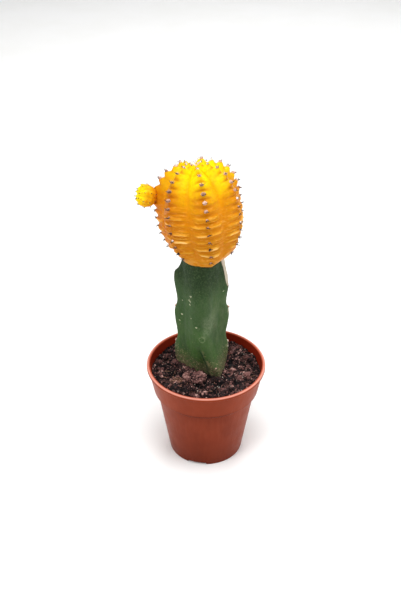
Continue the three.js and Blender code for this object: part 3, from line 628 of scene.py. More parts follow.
def stem_finish():
    skin = Finish(
        "green_stem_skin", (46, 72, 40), Specular_IOR_Level=0.05, Subsurface_Weight=0.06,
        Subsurface_Radius=(0.4, 1.0, 0.3), Subsurface_Scale=0.0012,
    )
    across, height = skin.along("X"), skin.along("Z")
    skin.coat(skin.grain(9.0, 3.0, 0.6).ramp(0.3, 0.7), (60, 84, 48))
    fresh = height.ramp(0.056, 0.076, 0.8, 0.16) * skin.grain(10.0, 2.0).ramp(0.35, 0.6)
    skin.coat(fresh, (60, 92, 40))
    # A greyish bloom, painted stronger towards the right, where it also stands for the lighter lit side
    # of the stem: painted light.
    bloom_and_lit_side = skin.grain(3.0, 5.0, 0.7, (1.0, 1.0, 0.7)).ramp(0.35, 0.75, 0.1, 0.7)
    skin.coat(bloom_and_lit_side * across.ramp(-0.0035, 0.003, 0.35, 1.0), (90, 102, 72))
    # A pale band along the front crest, with pale specks in it: a painted highlight.
    front_band = height.ramp(0.066, 0.071) * height.ramp(0.081, 0.075)
    front_crest = across.ramp(-0.003, 0.0) * across.ramp(0.006, 0.002)
    speckled = skin.grain(1.0, 4.0, 0.7).ramp(0.35, 0.6, 0.1, 0.6)
    skin.coat(front_band * front_crest * speckled, (118, 130, 100))
    # The top of the stem is painted darker: painted shadow under the head.
    skin.coat(height.ramp(0.081, 0.096, 0.0, 0.85), (34, 48, 30))
    mottle = skin.grain(0.8, 4.0, 0.7).ramp(0.42, 0.72, 0.0, 0.45)
    skin.coat(mottle, (82, 102, 68))
    skin.coat(skin.grain(0.5, 2.0, 0.5).ramp(0.62, 0.72, 0.0, 0.45), (34, 58, 38))
    ragged = skin.grain(1.2, 4.0, 0.7).ramp(0.3, 0.7, -0.25, 0.2)
    skin.coat((skin.painted("margin") + ragged).ramp(0.62, 0.92) * 0.9, (206, 196, 172))
    foot = height.ramp(0.055, 0.0455) * skin.grain(1.5, 4.0, 0.7).ramp(0.4, 0.52)
    skin.coat(foot * 0.8, (112, 98, 76))
    flecks = height.ramp(0.058, 0.049) * skin.grain(0.7, 3.0, 0.7).ramp(0.58, 0.66)
    skin.coat(flecks * 0.8, (190, 180, 136))
    skin.coat(skin.painted("tan") * 0.8, (150, 142, 104))
    scabs = skin.grain(1.1, 3.0, 0.7).ramp(0.66, 0.72) * skin.grain(14.0, 1.0).ramp(0.45, 0.6)
    skin.coat(scabs * 0.6, (138, 138, 104))
    cut = skin.painted("cut")
    cork_grain = skin.grain(0.5, 3.0, 0.7)
    stripes = skin.grain(0.5, 2.0, 0.5, (1.0, 1.0, 0.1)).ramp(0.35, 0.65)
    cork = skin.blend(cork_grain * 1.2, (148, 134, 112), (226, 216, 196))
    cork = skin.blend(stripes * 0.5, cork, (132, 118, 98))
    skin.coat(cut.ramp(0.0, 0.4), (84, 70, 50))
    skin.coat(cut.ramp(0.55, 0.9), cork)
    skin.coat(skin.painted("ring") * 0.5, (128, 140, 104))
    skin.coat(skin.painted("scab") * 0.7, (30, 42, 28))
    # The crease is painted darker: painted shade.
    skin.coat(skin.painted("crease") * 0.6, (28, 54, 40))
    skin.coat(skin.painted("speck"), (222, 222, 184))
    normal = (mottle + cut * cork_grain).relief(0.06, skin.grain(0.3, 3.0, 0.6).relief(0.02))
    return skin.shade(Roughness=skin.grain(2.0).ramp(0.3, 0.7, 0.58, 0.74), Normal=normal)


new_piece(stem_shape(), "stem_skin", "rootstock", stem_finish())


# The peat: dark, crumbly potting mix that fills the pot to just under its rim. It is laid
# as a rough bed, with crumbs, pale grains and fibres strewn on it.
def number_source(seed):
    """Seeded random numbers between 0 and 1, drawn by the same rule as the solids use."""
    state = [seed]

    def multiply(first, second):
        return (first * second) & 0xFFFFFFFF

    def draw():
        state[0] = (state[0] + 0x6D2B79F5) & 0xFFFFFFFF
        mixed = multiply(state[0] ^ (state[0] >> 15), 1 | state[0])
        mixed = ((mixed + multiply(mixed ^ (mixed >> 7), 61 | mixed)) & 0xFFFFFFFF) ^ mixed
        return ((mixed ^ (mixed >> 14)) & 0xFFFFFFFF) / 4294967296

    return draw


SOIL_LEVEL = 43.4
SOIL_SEED = 41
SOIL_LUMPS = 46
SOIL_LUMP_RADIUS = (1.8, 3.6)
SOIL_LUMP_HEIGHT = (-1.0, 1.3)
SOIL_LUMP_FALLOFF = 1.6
# Clods and hollows: x, y, radius, height
SOIL_CLODS = [
    (-5.8, -6.9, 4.8, 3.4), (-10.5, -1.0, 3.6, 1.2), (-14.5, 5.0, 3.4, 1.0), (-13.5, -11.5, 5.0, 1.0),
    (13.5, -6.0, 4.6, 1.0), (17.0, 9.5, 6.0, 0.9), (11.5, 1.5, 2.8, -1.9), (2.5, -14.5, 3.4, -1.6),
    (-15.5, -3.5, 3.0, -1.0),
]
# Hollows of the visible surface alone
SOIL_FINE_HOLLOWS = (
    (11.8, 6.2, 3.0, -1.8), (6.4, -10.6, 2.6, -1.9), (-2.4, -12.2, 2.8, -1.7), (-11.0, -4.0, 2.4, -1.4),
)
# The big clod in front of the stem, and a patch of fibres to its left
BIG_CLOD_PLACE = Vector((-5.3, -7.9, 44.9))
BIG_CLOD_SIZE = (5.4, 3.6, 2.4)
FIBRE_PATCH = Vector((-12.8, -10.1, 0))
SOIL_GAP = 0.15
SOIL_GRID = 200
SOIL_FLOOR = 1.3
SOIL_FOOT = 2.6
SOIL_STEP = 1.1
# Size of the cells that clods are sorted into, and how far round a place its depth is judged
SOIL_CELL = 4.0
SOIL_ROUND = 2.2
# Crumbs by group: name, amount, sizes, rounding and range of tints
CRUMBS = (
    ("peat_crumbs_small", 4800, (0.18, 0.46), 1, (0.0, 1.15)),
    ("peat_crumbs", 1300, (0.42, 0.95), 2, (0.0, 0.9)),
    ("peat_clods", 240, (0.9, 2.0), 2, (0.0, 0.65)),
)
BIG_CLOD_CRUMBS = 260
PALE_GRAINS = 300
LOOSE_FIBRES = 90
PATCH_FIBRES = 80
soil_draw = number_source(SOIL_SEED)
for lump in range(SOIL_LUMPS):
    lump_place = heading(360 * soil_draw(), POT_COLLAR_FOOT_RADIUS * math.sqrt(soil_draw()))
    lump_radius = lerp(*SOIL_LUMP_RADIUS, soil_draw())
    SOIL_CLODS.append((*lump_place.xy, lump_radius, lerp(*SOIL_LUMP_HEIGHT, soil_draw())))
SOIL_CLODS.extend(SOIL_FINE_HOLLOWS)
clods_by_cell = {}


def clods_near(x, y):
    """The clods that can reach a place, kept for each cell of the surface."""
    cell = (round(x / SOIL_CELL), round(y / SOIL_CELL))
    if cell not in clods_by_cell:
        middle = (cell[0] * SOIL_CELL, cell[1] * SOIL_CELL)
        clods_by_cell[cell] = [
            clod for clod in SOIL_CLODS if math.dist(middle, clod[:2]) < 2 * clod[2] + SOIL_CELL
        ]
    return clods_by_cell[cell]


def soil_surface(place):
    x, y = place.xy
    height = SOIL_LEVEL
    for clod_x, clod_y, radius, rise in clods_near(x, y):
        distance = math.hypot(x - clod_x, y - clod_y) / radius
        if distance < 2:
            height += rise * math.exp(-distance * distance * SOIL_LUMP_FALLOFF)
    spot = Vector((x, y, 0))
    height += 0.95 * noise.fractal(spot * 0.34, 0.8, 2.1, 4)
    height += 0.35 * noise.fractal(spot * 1.5, 0.6, 2.2, 3)
    return height


def from_stem(place):
    """Distance out from the stem's skin at the peat, less than zero inside it."""
    offset = place.xy - STEM_PLACE.xy
    azimuth = math.degrees(math.atan2(offset.x, -offset.y))
    return offset.length - stem_radius(azimuth, SOIL_LEVEL)


def soil_edge(height):
    return pot_collar_radius(height) - POT_WALL - SOIL_GAP


SOIL_RADIUS = soil_edge(SOIL_LEVEL)


def peat_bed_shape():
    shape = bmesh.new()
    bmesh.ops.create_grid(shape, x_segments=SOIL_GRID, y_segments=SOIL_GRID, size=1)
    for vertex in shape.verts:
        u, v = vertex.co.x, vertex.co.y
        disc = Vector((u * math.sqrt(1 - v * v / 2), v * math.sqrt(1 - u * u / 2), 0))
        reach = disc.length
        disc *= SOIL_RADIUS
        height = soil_surface(disc)
        if reach > 0.999:
            disc *= soil_edge(height) / SOIL_RADIUS
        outside = from_stem(disc)
        hole = 1 - clamp((outside + 0.5) / 0.5, 0, 1)
        vertex.co = Vector((disc.x, disc.y, lerp(height, STEM_FOOT - 0.5, hole)))
    levels = (
        (soil_edge(POT_SHOULDER), POT_SHOULDER),
        (pot_wall_radius(POT_SHOULDER - SOIL_STEP) - POT_WALL - SOIL_GAP, POT_SHOULDER - SOIL_STEP),
        (pot_wall_radius(SOIL_FLOOR) - POT_WALL - SOIL_GAP, SOIL_FOOT),
    )
    for radius, height in levels:
        for vertex in drawn_out(shape, open_edges(shape)):
            flat = Vector((vertex.co.x, vertex.co.y, 0)).normalized() * radius
            vertex.co = (flat.x, flat.y, height)
    close_end(shape, open_edges(shape), (0, 0, SOIL_FOOT))
    bmesh.ops.recalc_face_normals(shape, faces=shape.faces)
    return shape


def surface_depth(place):
    """0 in the hollows of the peat's surface, 1 on its heights: the measure for the peat's painted
    shade.
    """
    around = sum(soil_surface(place + heading(azimuth, SOIL_ROUND)) for azimuth in (90, 270, 180, 0)) / 4
    here = soil_surface(place)
    return clamp(0.5 + (here - around) * 0.45 + (here - SOIL_LEVEL) * 0.12, 0, 1)


def peat_finish(name, dark, middle, light, wet):
    peat = Finish(name, dark, Specular_IOR_Level=0.2)
    grains = peat.grain(0.7, 5.0, 0.7)
    tint = peat.painted("tint") + grains.ramp(0.3, 0.7, -0.3, 0.3)
    peat.coat(tint.ramp(0.0, 0.6), middle)
    peat.coat(tint.ramp(0.6, 1.15), light)
    moist = peat.grain(2.5, 3.0).ramp(0.35, 0.65, wet, 0.95)
    return peat.shade(Roughness=moist, Normal=grains.relief(0.12))


def batches(shape, amount, size=60):
    """Counts up to an amount, and gives for each a small shape to add to with its mark. Each
    batch is moved into the whole shape once it's full, which is quicker."""
    for start in range(0, amount, size):
        batch, tint_mark = marked_shape("tint")
        for index in range(start, min(start + size, amount)):
            yield index, batch, tint_mark
        batch_mesh = bpy.data.meshes.new("batch")
        batch.to_mesh(batch_mesh)
        batch.free()
        shape.from_mesh(batch_mesh)
        bpy.data.meshes.remove(batch_mesh)


def ball(shape, place, size, rounds, form=Matrix()):
    """Adds a small ball, formed by a matrix, and gives its points."""
    matrix = Matrix.Translation(place) @ form
    return bmesh.ops.create_icosphere(shape, subdivisions=rounds, radius=size, matrix=matrix)["verts"]


def crumb(shape, tint_mark, draw, place, size, rounds, tint):
    """One lump of peat: a small ball, squashed, turned and knocked out of shape."""
    turn = Matrix.Rotation(draw.uniform(0, 6.28), 4, Vector([draw.gauss(0, 1) for _ in range(3)]))
    squash = Matrix.Diagonal((1, draw.uniform(0.6, 1.0), draw.uniform(0.45, 0.85), 1))
    for vertex in ball(shape, place, size, rounds, turn @ squash):
        vertex.co += (vertex.co - place) * draw.uniform(-0.3, 0.3)
        vertex[tint_mark] = tint


def strand(shape, root, direction, length, radius, bend, sides=4, cuts=3, tip=0.3, mark=None):
    """A thin tapered strand from its root, with an even bend, and a mark that runs from 0
    at the root to 1 at the tip."""
    first = len(shape.verts)
    made = bmesh.ops.create_cone(
        shape, cap_ends=True, segments=sides, radius1=radius, radius2=radius * tip, depth=1,
    )
    if cuts:
        long_edges = {edge for vertex in made["verts"] for edge in vertex.link_edges
                      if abs(edge.verts[0].co.z - edge.verts[1].co.z) > 0.5}
        bmesh.ops.subdivide_edges(shape, edges=list(long_edges), cuts=cuts)
    shape.verts.ensure_lookup_table()
    verts = shape.verts[first:]
    turn = direction.to_track_quat("Z", "Y")
    for vertex in verts:
        share = vertex.co.z + 0.5
        if mark is not None:
            vertex[mark] = share
        place = Vector((vertex.co.x, vertex.co.y, share * length))
        vertex.co = root + turn @ place + bend * (share * share)
    return verts


def peat_pieces():
    draw = random.Random(7)
    dark = peat_finish("peat_bed", (8, 5, 7), (46, 30, 31), (118, 82, 78), 0.6)
    bed = new_piece(peat_bed_shape(), "peat_bed", "soil", dark)
    tint = bed.data.attributes.new("tint", "FLOAT", "POINT")
    for index, vertex in enumerate(bed.data.vertices):
        spot = Vector(vertex.co) / MM
        # The bed is painted darker in the hollows of its surface and lighter on its heights: painted
        # shade.
        cloud = 0.25 * noise.noise(spot * 0.35) - 0.1
        tint.data[index].value = 0.62 * surface_depth(spot) + cloud
    brown = peat_finish("peat_crumb", (12, 7, 9), (114, 76, 72), (196, 154, 145), 0.55)
    for name, amount, sizes, rounds, tints in CRUMBS:
        shape = bmesh.new()
        for _, batch, tint_mark in batches(shape, amount):
            size = lerp(*sizes, draw.random() ** 2.2)
            reach = (SOIL_RADIUS - size) * math.sqrt(draw.random())
            place = heading(draw.uniform(0, 360), reach)
            if from_stem(place) < size * 0.6:
                continue
            place.z = soil_surface(place) + size * draw.uniform(-0.35, 0.3)
            # Crumbs in the hollows are painted darker: painted shade.
            depth = surface_depth(place)
            tint = draw.uniform(*tints) * lerp(0.1, 1.35, depth) - 0.4 * (1 - depth) ** 2
            crumb(batch, tint_mark, draw, place, size, rounds, tint)
        new_piece(shape, name, "soil", brown, 40)
    shape, tint_mark = marked_shape("tint")
    for vertex in ball(shape, BIG_CLOD_PLACE, 1, 6, Matrix.Diagonal((*BIG_CLOD_SIZE, 1))):
        spot = vertex.co.copy()
        rough = 0.32 * noise.fractal(spot * 0.5, 0.9, 2.1, 5)
        vertex.co += (spot - BIG_CLOD_PLACE) * rough
        # The clod is painted lighter where it bulges out and darker in its crevices: painted shade.
        vertex[tint_mark] = 0.38 + 1.5 * rough + 0.4 * noise.noise(spot * 1.3)
    for _, batch, tint_mark in batches(shape, BIG_CLOD_CRUMBS):
        course = Vector((draw.gauss(0, 1), draw.gauss(0, 1), abs(draw.gauss(0, 1)))).normalized()
        size = lerp(0.2, 0.55, draw.random() ** 2)
        place = BIG_CLOD_PLACE + course * Vector(BIG_CLOD_SIZE)
        crumb(batch, tint_mark, draw, place, size, 1, draw.uniform(0.1, 0.95))
    new_piece(shape, "peat_big_clod", "soil", brown, 40)
    pale = peat_finish("pale_grain", (150, 128, 112), (196, 182, 168), (236, 230, 222), 0.5)
    shape = bmesh.new()
    for _, batch, tint_mark in batches(shape, PALE_GRAINS):
        size = lerp(0.1, 0.32, draw.random() ** 2.5)
        place = heading(draw.uniform(0, 360), (SOIL_RADIUS - size) * math.sqrt(draw.random()))
        if from_stem(place) > size:
            place.z = soil_surface(place) + 0.3 + size * 0.4
            crumb(batch, tint_mark, draw, place, size, 1, draw.uniform(0.1, 1.0))
    new_piece(shape, "pale_grains", "soil", pale, 40)
    straw = peat_finish("peat_fibre", (50, 30, 26), (106, 68, 56), (186, 142, 116), 0.6)
    shape = bmesh.new()
    for fibre, batch, tint_mark in batches(shape, LOOSE_FIBRES + PATCH_FIBRES):
        length = draw.uniform(1.5, 4.5)
        place = heading(draw.uniform(0, 360), (SOIL_RADIUS - 3.5) * math.sqrt(draw.random()))
        if fibre >= LOOSE_FIBRES:
            length *= 0.5
            place = FIBRE_PATCH + Vector([draw.gauss(0, 2.2) for _ in range(2)] + [0])
        course = heading(draw.uniform(0, 360), 1, draw.uniform(-0.12, 0.35))
        end = place + course * length
        spots = (place, place + course * length / 2, end)
        if min(from_stem(spot) for spot in spots) < 1.0 or end.xy.length > SOIL_RADIUS - 1:
            continue
        place.z = max(soil_surface(spot) for spot in spots) + draw.uniform(0.0, 0.5)
        bend = Vector([draw.uniform(-0.8, 0.8) for _ in range(2)] + [draw.uniform(-0.9, -0.1)])
        shade = draw.uniform(0.1, 1.1) if fibre < LOOSE_FIBRES else draw.uniform(0.6, 1.2)
        for vertex in strand(batch, place, course.normalized(), length, draw.uniform(0.06, 0.17), bend):
            vertex[tint_mark] = shade
    new_piece(shape, "peat_fibres", "soil", straw)


peat_pieces()


# The scion: the yellow head, a cactus without green in its flesh, grafted on the stem. It
# has seven ribs with a chin under each areole, and low cross ridges on its lower half.
SKIN_UPPER_PART = (0.35, 0.75)
SKIN_FOOT_FADE = (0.2, 2.2)
SKIN_CROWN_FADE = 0.45
SKIN_SPACING_BLEND = 0.2
SKIN_FOOT_GROOVE = 0.35
SKIN_CHIN_LENGTH = 0.34
SKIN_CHIN_BELOW = 0.06
SKIN_HOLLOW_BELOW = 0.42
SKIN_HOLLOW_LENGTH = 0.15
SKIN_HOLLOW_WIDTH = 0.42
SKIN_LOWER_CHIN = 0.24
SKIN_CROWN_CHIN = 0.45
SKIN_OUTLINE_STEPS = 240
HEAD = dict(
    ribs=7, first_rib=9.6, areoles=14, radius=17.9, upper_height=23.6, upper_power=2.9,
    lower_height=24.0, lower_power=1.68, waist=17.35, lower_spacing=3.4, upper_spacing=4.4,
    spacing_turn=0.82, groove_upper=2.4, groove_lower=1.1, chin=1.55, chin_width=0.31,
    ridge=0.85, phase=0.35, phase_spread=0.25, seed=2596,
)
HEAD_X = -0.25
HEAD_Y = 4.2
HEAD_LEAN_LEFT_DEG = 6.8
HEAD_LEAN_BACK_DEG = 8.5
HEAD_LEAN_HEIGHT = 8.0
HEAD_TRIM_FACETS = 7
HEAD_TRIM_MIDDLE = Vector((-1.72, -1.97, 0))
HEAD_TRIM_RADIUS = 8.08
HEAD_TRIM_SLOPE = 1.15
HEAD_AROUND = 336
HEAD_ALONG = 288
# The head swells towards the foot of the pup
PUP_CENTRE = Vector((-25.9, 7.0, 130.6))
PUP_DIRECTION = Vector((-0.92, -0.28, 0.27)).normalized()
PUP_WAIST = 4.6
PUP_FOOT = PUP_CENTRE - PUP_DIRECTION * PUP_WAIST
PUP_SWELLING_RISE = 1.6
PUP_SWELLING_RADIUS = 4.2


class RibbedSkin:
    """Skin of a ribbed body that stands at the origin, in millimetres. A place along a rib
    is counted in areoles: 1 is the lowest one, and areoles + 1 is the crown."""

    def __init__(self, sizes):
        for name, value in sizes.items():
            setattr(self, name, value)
        draw = number_source(self.seed)
        self.phases = [self.phase + self.phase_spread * (2 * draw() - 1) for _ in range(self.ribs)]
        self.ridge_draws = random.Random(self.seed)
        self.ridges = {}
        self.lengths = []
        self.outline = []
        self.trace_outline()
        self.marks = self.place_marks()

    def trace_outline(self):
        foot = -math.asin((self.waist / self.lower_height) ** (self.lower_power / 2))
        for step in range(SKIN_OUTLINE_STEPS + 1):
            angle = lerp(foot, math.pi / 2, step / SKIN_OUTLINE_STEPS)
            power = self.upper_power if angle >= 0 else self.lower_power
            height = self.upper_height if angle >= 0 else self.lower_height
            reach = self.radius * max(math.cos(angle), 0) ** (2 / power)
            rise = math.copysign(abs(math.sin(angle)) ** (2 / power), angle) * height
            point = (reach, self.waist + rise)
            run = math.dist(point, self.outline[-1]) if self.outline else 0
            self.lengths.append((self.lengths[-1] if self.lengths else 0) + run)
            self.outline.append(point)

    def place_marks(self):
        marks = [0]
        for index in range(self.areoles + 1):
            start = self.spacing_turn - SKIN_SPACING_BLEND
            turn = smoothstep(index / self.areoles, start, start + 2 * SKIN_SPACING_BLEND)
            marks.append(marks[-1] + lerp(self.lower_spacing, self.upper_spacing, turn))
        return [mark * self.lengths[-1] / marks[-1] for mark in marks]

    def outline_at(self, count):
        top = len(self.marks) - 1
        bounded = clamp(count, 0, top)
        index = min(int(bounded), top - 1)
        length = lerp(self.marks[index], self.marks[index + 1], bounded - index)
        step = clamp(bisect_left(self.lengths, length), 1, len(self.lengths) - 1)
        run = self.lengths[step] - self.lengths[step - 1]
        share = (length - self.lengths[step - 1]) / run
        first, second = self.outline[step - 1], self.outline[step]
        reach, height = lerp(first[0], second[0], share), lerp(first[1], second[1], share)
        return reach, height, (second[1] - first[1]) / run, -(second[0] - first[0]) / run

    def cross_ridge(self, rib, side, count):
        """How high a cross ridge is, 0 to 1. Each flank of a rib has its own at each areole,
        and it tapers off before the furrow."""
        size = 0
        for flank in (-1, 1):
            key = (rib, flank, round(count))
            if key not in self.ridges:
                draw = self.ridge_draws.uniform
                spread = draw(0.5, 1.1), draw(0.75, 1.2), draw(-0.14, 0.14)
                self.ridges[key] = (*spread, draw(2, 5), draw(0.1, 0.9))
            strength, length, shift, sharpness, fold = self.ridges[key]
            reach = abs(side)
            offset = clamp(count - round(count) - shift * reach, -0.5, 0.5)
            profile = (0.5 + 0.5 * math.cos(2 * math.pi * offset)) ** sharpness
            profile += fold * (0.5 - 0.5 * math.cos(4 * math.pi * (offset + shift))) ** 3
            taper = 1 - smoothstep(reach, length - 0.4, length)
            size += strength * profile * taper * smoothstep(flank * side, -0.2, 0.2)
        return size

    def at(self, rib, side, count, lift=0.0):
        """Point at a rib and a side of it, from -1 through the crest to 1, and how much it is part of a
        furrow, of a cross ridge, of a chin and of the painted shade under a chin."""
        neighbour = (rib + (1 if side > 0 else -1)) % self.ribs
        own = self.phases[rib % self.ribs]
        ends = smoothstep(count, 0, 1) * (1 - smoothstep(count, self.areoles, self.areoles + 1))
        shared = (own + self.phases[neighbour]) / 2
        phase = lerp(own, shared, smoothstep(abs(side), 0.5, 1)) * ends
        reach, height, out_reach, out_height = self.outline_at(count + phase)
        upper = smoothstep(count / self.areoles, *SKIN_UPPER_PART)
        crown_fade = smoothstep(reach / self.radius, 0, SKIN_CROWN_FADE)
        foot_fade = smoothstep(count, *SKIN_FOOT_FADE)
        vee = 1 - math.cos(math.pi * side / 2)
        groove = lerp(self.groove_lower, self.groove_upper, upper) * vee
        offset = count - round(count)
        in_range = 1 if 0.5 < count < self.areoles + 0.5 else 0
        along = (offset + SKIN_CHIN_BELOW) / SKIN_CHIN_LENGTH
        bump = math.exp(-along ** 2 - (side / self.chin_width) ** 2)
        chin_size = self.chin * lerp(SKIN_LOWER_CHIN, 1, upper) * lerp(SKIN_CROWN_CHIN, 1, crown_fade)
        wave = self.cross_ridge(rib % self.ribs, side, count) * in_range
        relief = foot_fade * in_range * (chin_size * bump + self.ridge * (1 - upper) * wave)
        relief -= crown_fade * lerp(SKIN_FOOT_GROOVE, 1, foot_fade) * groove
        relief += lift
        azimuth = self.first_rib + 360 * (rib + side / 2) / self.ribs
        reach = max(reach + out_reach * relief, 0)
        point = heading(azimuth, reach, height + out_height * relief)
        below = (offset + SKIN_HOLLOW_BELOW + 0.5) % 1 - 0.5
        hollow = math.exp(-(below / SKIN_HOLLOW_LENGTH) ** 2 - (side / SKIN_HOLLOW_WIDTH) ** 2)
        return point, vee, wave * (1 - upper) * foot_fade, bump * in_range, hollow * upper * in_range


def on_graft(point):
    """Sets a point of the head on the graft: flat facets are trimmed round its foot, and
    above them its axis leans to the left and to the back."""
    placed = point.copy()
    for facet in range(HEAD_TRIM_FACETS):
        out = heading(360 * facet / HEAD_TRIM_FACETS)
        beyond = (placed - HEAD_TRIM_MIDDLE).dot(out) - HEAD_TRIM_RADIUS - HEAD_TRIM_SLOPE * point.z
        placed -= out * max(beyond, 0)
    share = smoothstep(placed.z, 0, HEAD_LEAN_HEIGHT)
    placed.rotate(Matrix.Rotation(-math.radians(HEAD_LEAN_LEFT_DEG) * share, 3, "Y"))
    placed.rotate(Matrix.Rotation(-math.radians(HEAD_LEAN_BACK_DEG) * share, 3, "X"))
    placed += Vector((HEAD_X, HEAD_Y, GRAFT_HEIGHT))
    distance = (placed - PUP_FOOT).length / PUP_SWELLING_RADIUS
    return placed + PUP_DIRECTION * (PUP_SWELLING_RISE * math.exp(-distance * distance))


def ribbed_shape(skin, around, along, place, wrinkles):
    shape, *marks = marked_shape("furrow", "ridge", "chin", "under", "rise", "trim")
    bmesh.ops.create_grid(shape, x_segments=around, y_segments=along, size=1)
    for vertex in shape.verts:
        azimuth = 180 * vertex.co.x
        share = (vertex.co.y + 1) / 2
        count = share * (skin.areoles + 1)
        turn = (azimuth - skin.first_rib) * skin.ribs / 360
        rib = round(turn)
        spot = heading(azimuth, 9 * math.sin(math.pi * share), -9 * math.cos(math.pi * share))
        count += wrinkles * 0.16 * noise.noise(spot) * smoothstep(count, 0, 1)
        lift = wrinkles * (0.16 * noise.noise(spot * 1.7) + 0.07 * noise.noise(spot * 5.1))
        point, *looks = skin.at(rib, 2 * (turn - rib), count, lift)
        if not 0.00001 < share < 0.99999:
            point = Vector((0, 0, point.z))
        looks += [count / (skin.areoles + 1), 1 - smoothstep(count, 0.4, 1.6)]
        for mark, value in zip(marks, looks):
            vertex[mark] = value
        vertex.co = place(point)
    bmesh.ops.remove_doubles(shape, verts=shape.verts, dist=0.0002)
    bmesh.ops.recalc_face_normals(shape, faces=shape.faces)
    return shape


def head_finish(name, crown, middle, low, side, side_range):
    flesh = Finish(
        name, low, Specular_IOR_Level=0.07, Subsurface_Weight=0.12,
        Subsurface_Radius=(1.0, 0.42, 0.06), Subsurface_Scale=0.0022,
    )
    rise = flesh.painted("rise") + flesh.grain(8.0, 3.0).ramp(0.3, 0.7, -0.06, 0.06)
    # Orange at the foot to yellow at the crown is the head's own colour; the darker orange of its lower
    # half also holds painted shade.
    flesh.coat(rise.ramp(0.12, 0.62), middle)
    flesh.coat(rise.ramp(0.54, 0.86), crown)
    flesh.coat(flesh.along("X").ramp(*side_range) * 0.65, side)
    ridge = flesh.painted("ridge")
    low_down = rise.ramp(0.72, 0.4)
    # The troughs between cross ridges are painted darker, and their crests paler and cream on top:
    # painted shade and painted highlights.
    flesh.coat(ridge.ramp(0.35, 0.0) * low_down * 0.4, (200, 108, 4))
    flesh.coat(ridge.ramp(0.35, 1.0) * 0.5, (242, 182, 70))
    flesh.coat(ridge.ramp(0.75, 1.1) * 0.4, (252, 222, 150))
    flesh.coat(flesh.grain(1.1, 4.0, 0.65).ramp(0.45, 0.75, 0.0, 0.35), low)
    fine = flesh.grain(2.6, 4.0, 0.7, (1.0, 1.0, 3.6)).ramp(0.5, 0.68)
    flesh.coat(fine * low_down * 0.35, (246, 186, 84))
    # The chins, and the places under them, are painted darker orange: painted shade.
    flesh.coat(flesh.painted("chin").ramp(0.3, 1.0) * 0.3, side)
    flesh.coat(flesh.painted("under") * 0.7, side)
    # The furrows of the upper half are painted darker: painted shade.
    furrow = flesh.painted("furrow").ramp(0.6, 1.0) * rise.ramp(0.4, 0.6)
    flesh.coat(furrow * 0.4, (232, 148, 8))
    scrape = flesh.painted("trim") * flesh.grain(2.4, 4.0, 0.6).ramp(0.4, 0.65)
    flesh.coat(scrape * 0.5, (214, 158, 72))
    folds = flesh.grain(1.6, 4.0, 0.6, (1.0, 1.0, 2.0))
    normal = folds.relief(0.22, flesh.grain(0.28, 3.0, 0.6).relief(0.03))
    return flesh.shade(Roughness=flesh.grain(3.0).ramp(0.3, 0.7, 0.36, 0.52), Normal=normal)


head_skin = RibbedSkin(HEAD)
head_flesh = head_finish(
    "yellow_head_skin", (255, 218, 4), (206, 133, 2), (196, 126, 14), (192, 102, 2), (-0.006, -0.021),
)
head_shape = ribbed_shape(head_skin, HEAD_AROUND, HEAD_ALONG, on_graft, 1.0)
new_piece(head_shape, "head_skin", "scion", head_flesh)


# Areoles of the head: a pinkish-white woolly cushion on each chin, with a few short brown
# spines, and thin grey bristles round the crown.
def wool_finish():
    wool = Finish("areole_wool", (38, 20, 12), Roughness=0.95, Specular_IOR_Level=0.2, Sheen_Weight=0.4)
    tuft = wool.grain(0.25, 3.0, 0.7)
    tint = wool.painted("tint") + tuft.ramp(0.3, 0.7, -0.3, 0.3)
    wool.coat(tint.ramp(-0.3, 0.1), (120, 80, 62))
    wool.coat(tint.ramp(0.1, 0.5), (206, 162, 142))
    wool.coat(tint.ramp(0.55, 1.1), (250, 240, 236))
    return wool.shade(Normal=tuft.relief(0.1))


def spine_finish():
    horn = Finish("spine_horn", (92, 56, 40), Specular_IOR_Level=0.4)
    share = horn.painted("along") + horn.grain(0.6, 2.0).ramp(0.35, 0.65, -0.15, 0.15)
    horn.coat(share.ramp(0.0, 0.45), (54, 30, 24))
    horn.coat(share.ramp(0.5, 1.0), (26, 16, 14))
    return horn.shade(Roughness=share.ramp(0.0, 1.0, 0.6, 0.38), Normal=horn.grain(0.15).relief(0.01))


def bristle_finish():
    hair = Finish("crown_bristle", (196, 178, 148), Specular_IOR_Level=0.4)
    share = hair.painted("along") + hair.grain(0.8, 2.0).ramp(0.3, 0.7, -0.2, 0.2)
    hair.coat(share.ramp(0.1, 0.9), (122, 104, 88))
    return hair.shade(Roughness=share.ramp(0.0, 1.0, 0.5, 0.4))


areole_wool = wool_finish()
spine_horn = spine_finish()
crown_bristle = bristle_finish()
AREOLE_ABOVE_CHIN = 0.06


def areole_frame(skin, place, rib, areole):
    """Middle of an areole, with the ways out of the skin, up the rib and across it."""
    count = areole + AREOLE_ABOVE_CHIN
    middle = place(skin.at(rib, 0, count)[0])
    up = (place(skin.at(rib, 0, count + 0.1)[0]) - middle).normalized()
    across = (place(skin.at(rib, 0.08, count)[0]) - middle).normalized()
    out = across.cross(up).normalized()
    return middle, out, up, across


# Dark scars and the whitest cushions, by rib and areole, and a cushion's shape
HEAD_SCARS = ((0, 3), (6, 2))
HEAD_WHITE = ((1, 2), (1, 5), (1, 8), (6, 4), (3, 6), (4, 9))
CUSHION = (1.0, 0.9, 0.62, 1)
CUSHION_HAIRS = 10
PUP_CLEAR_OF_SPINES = 7.0


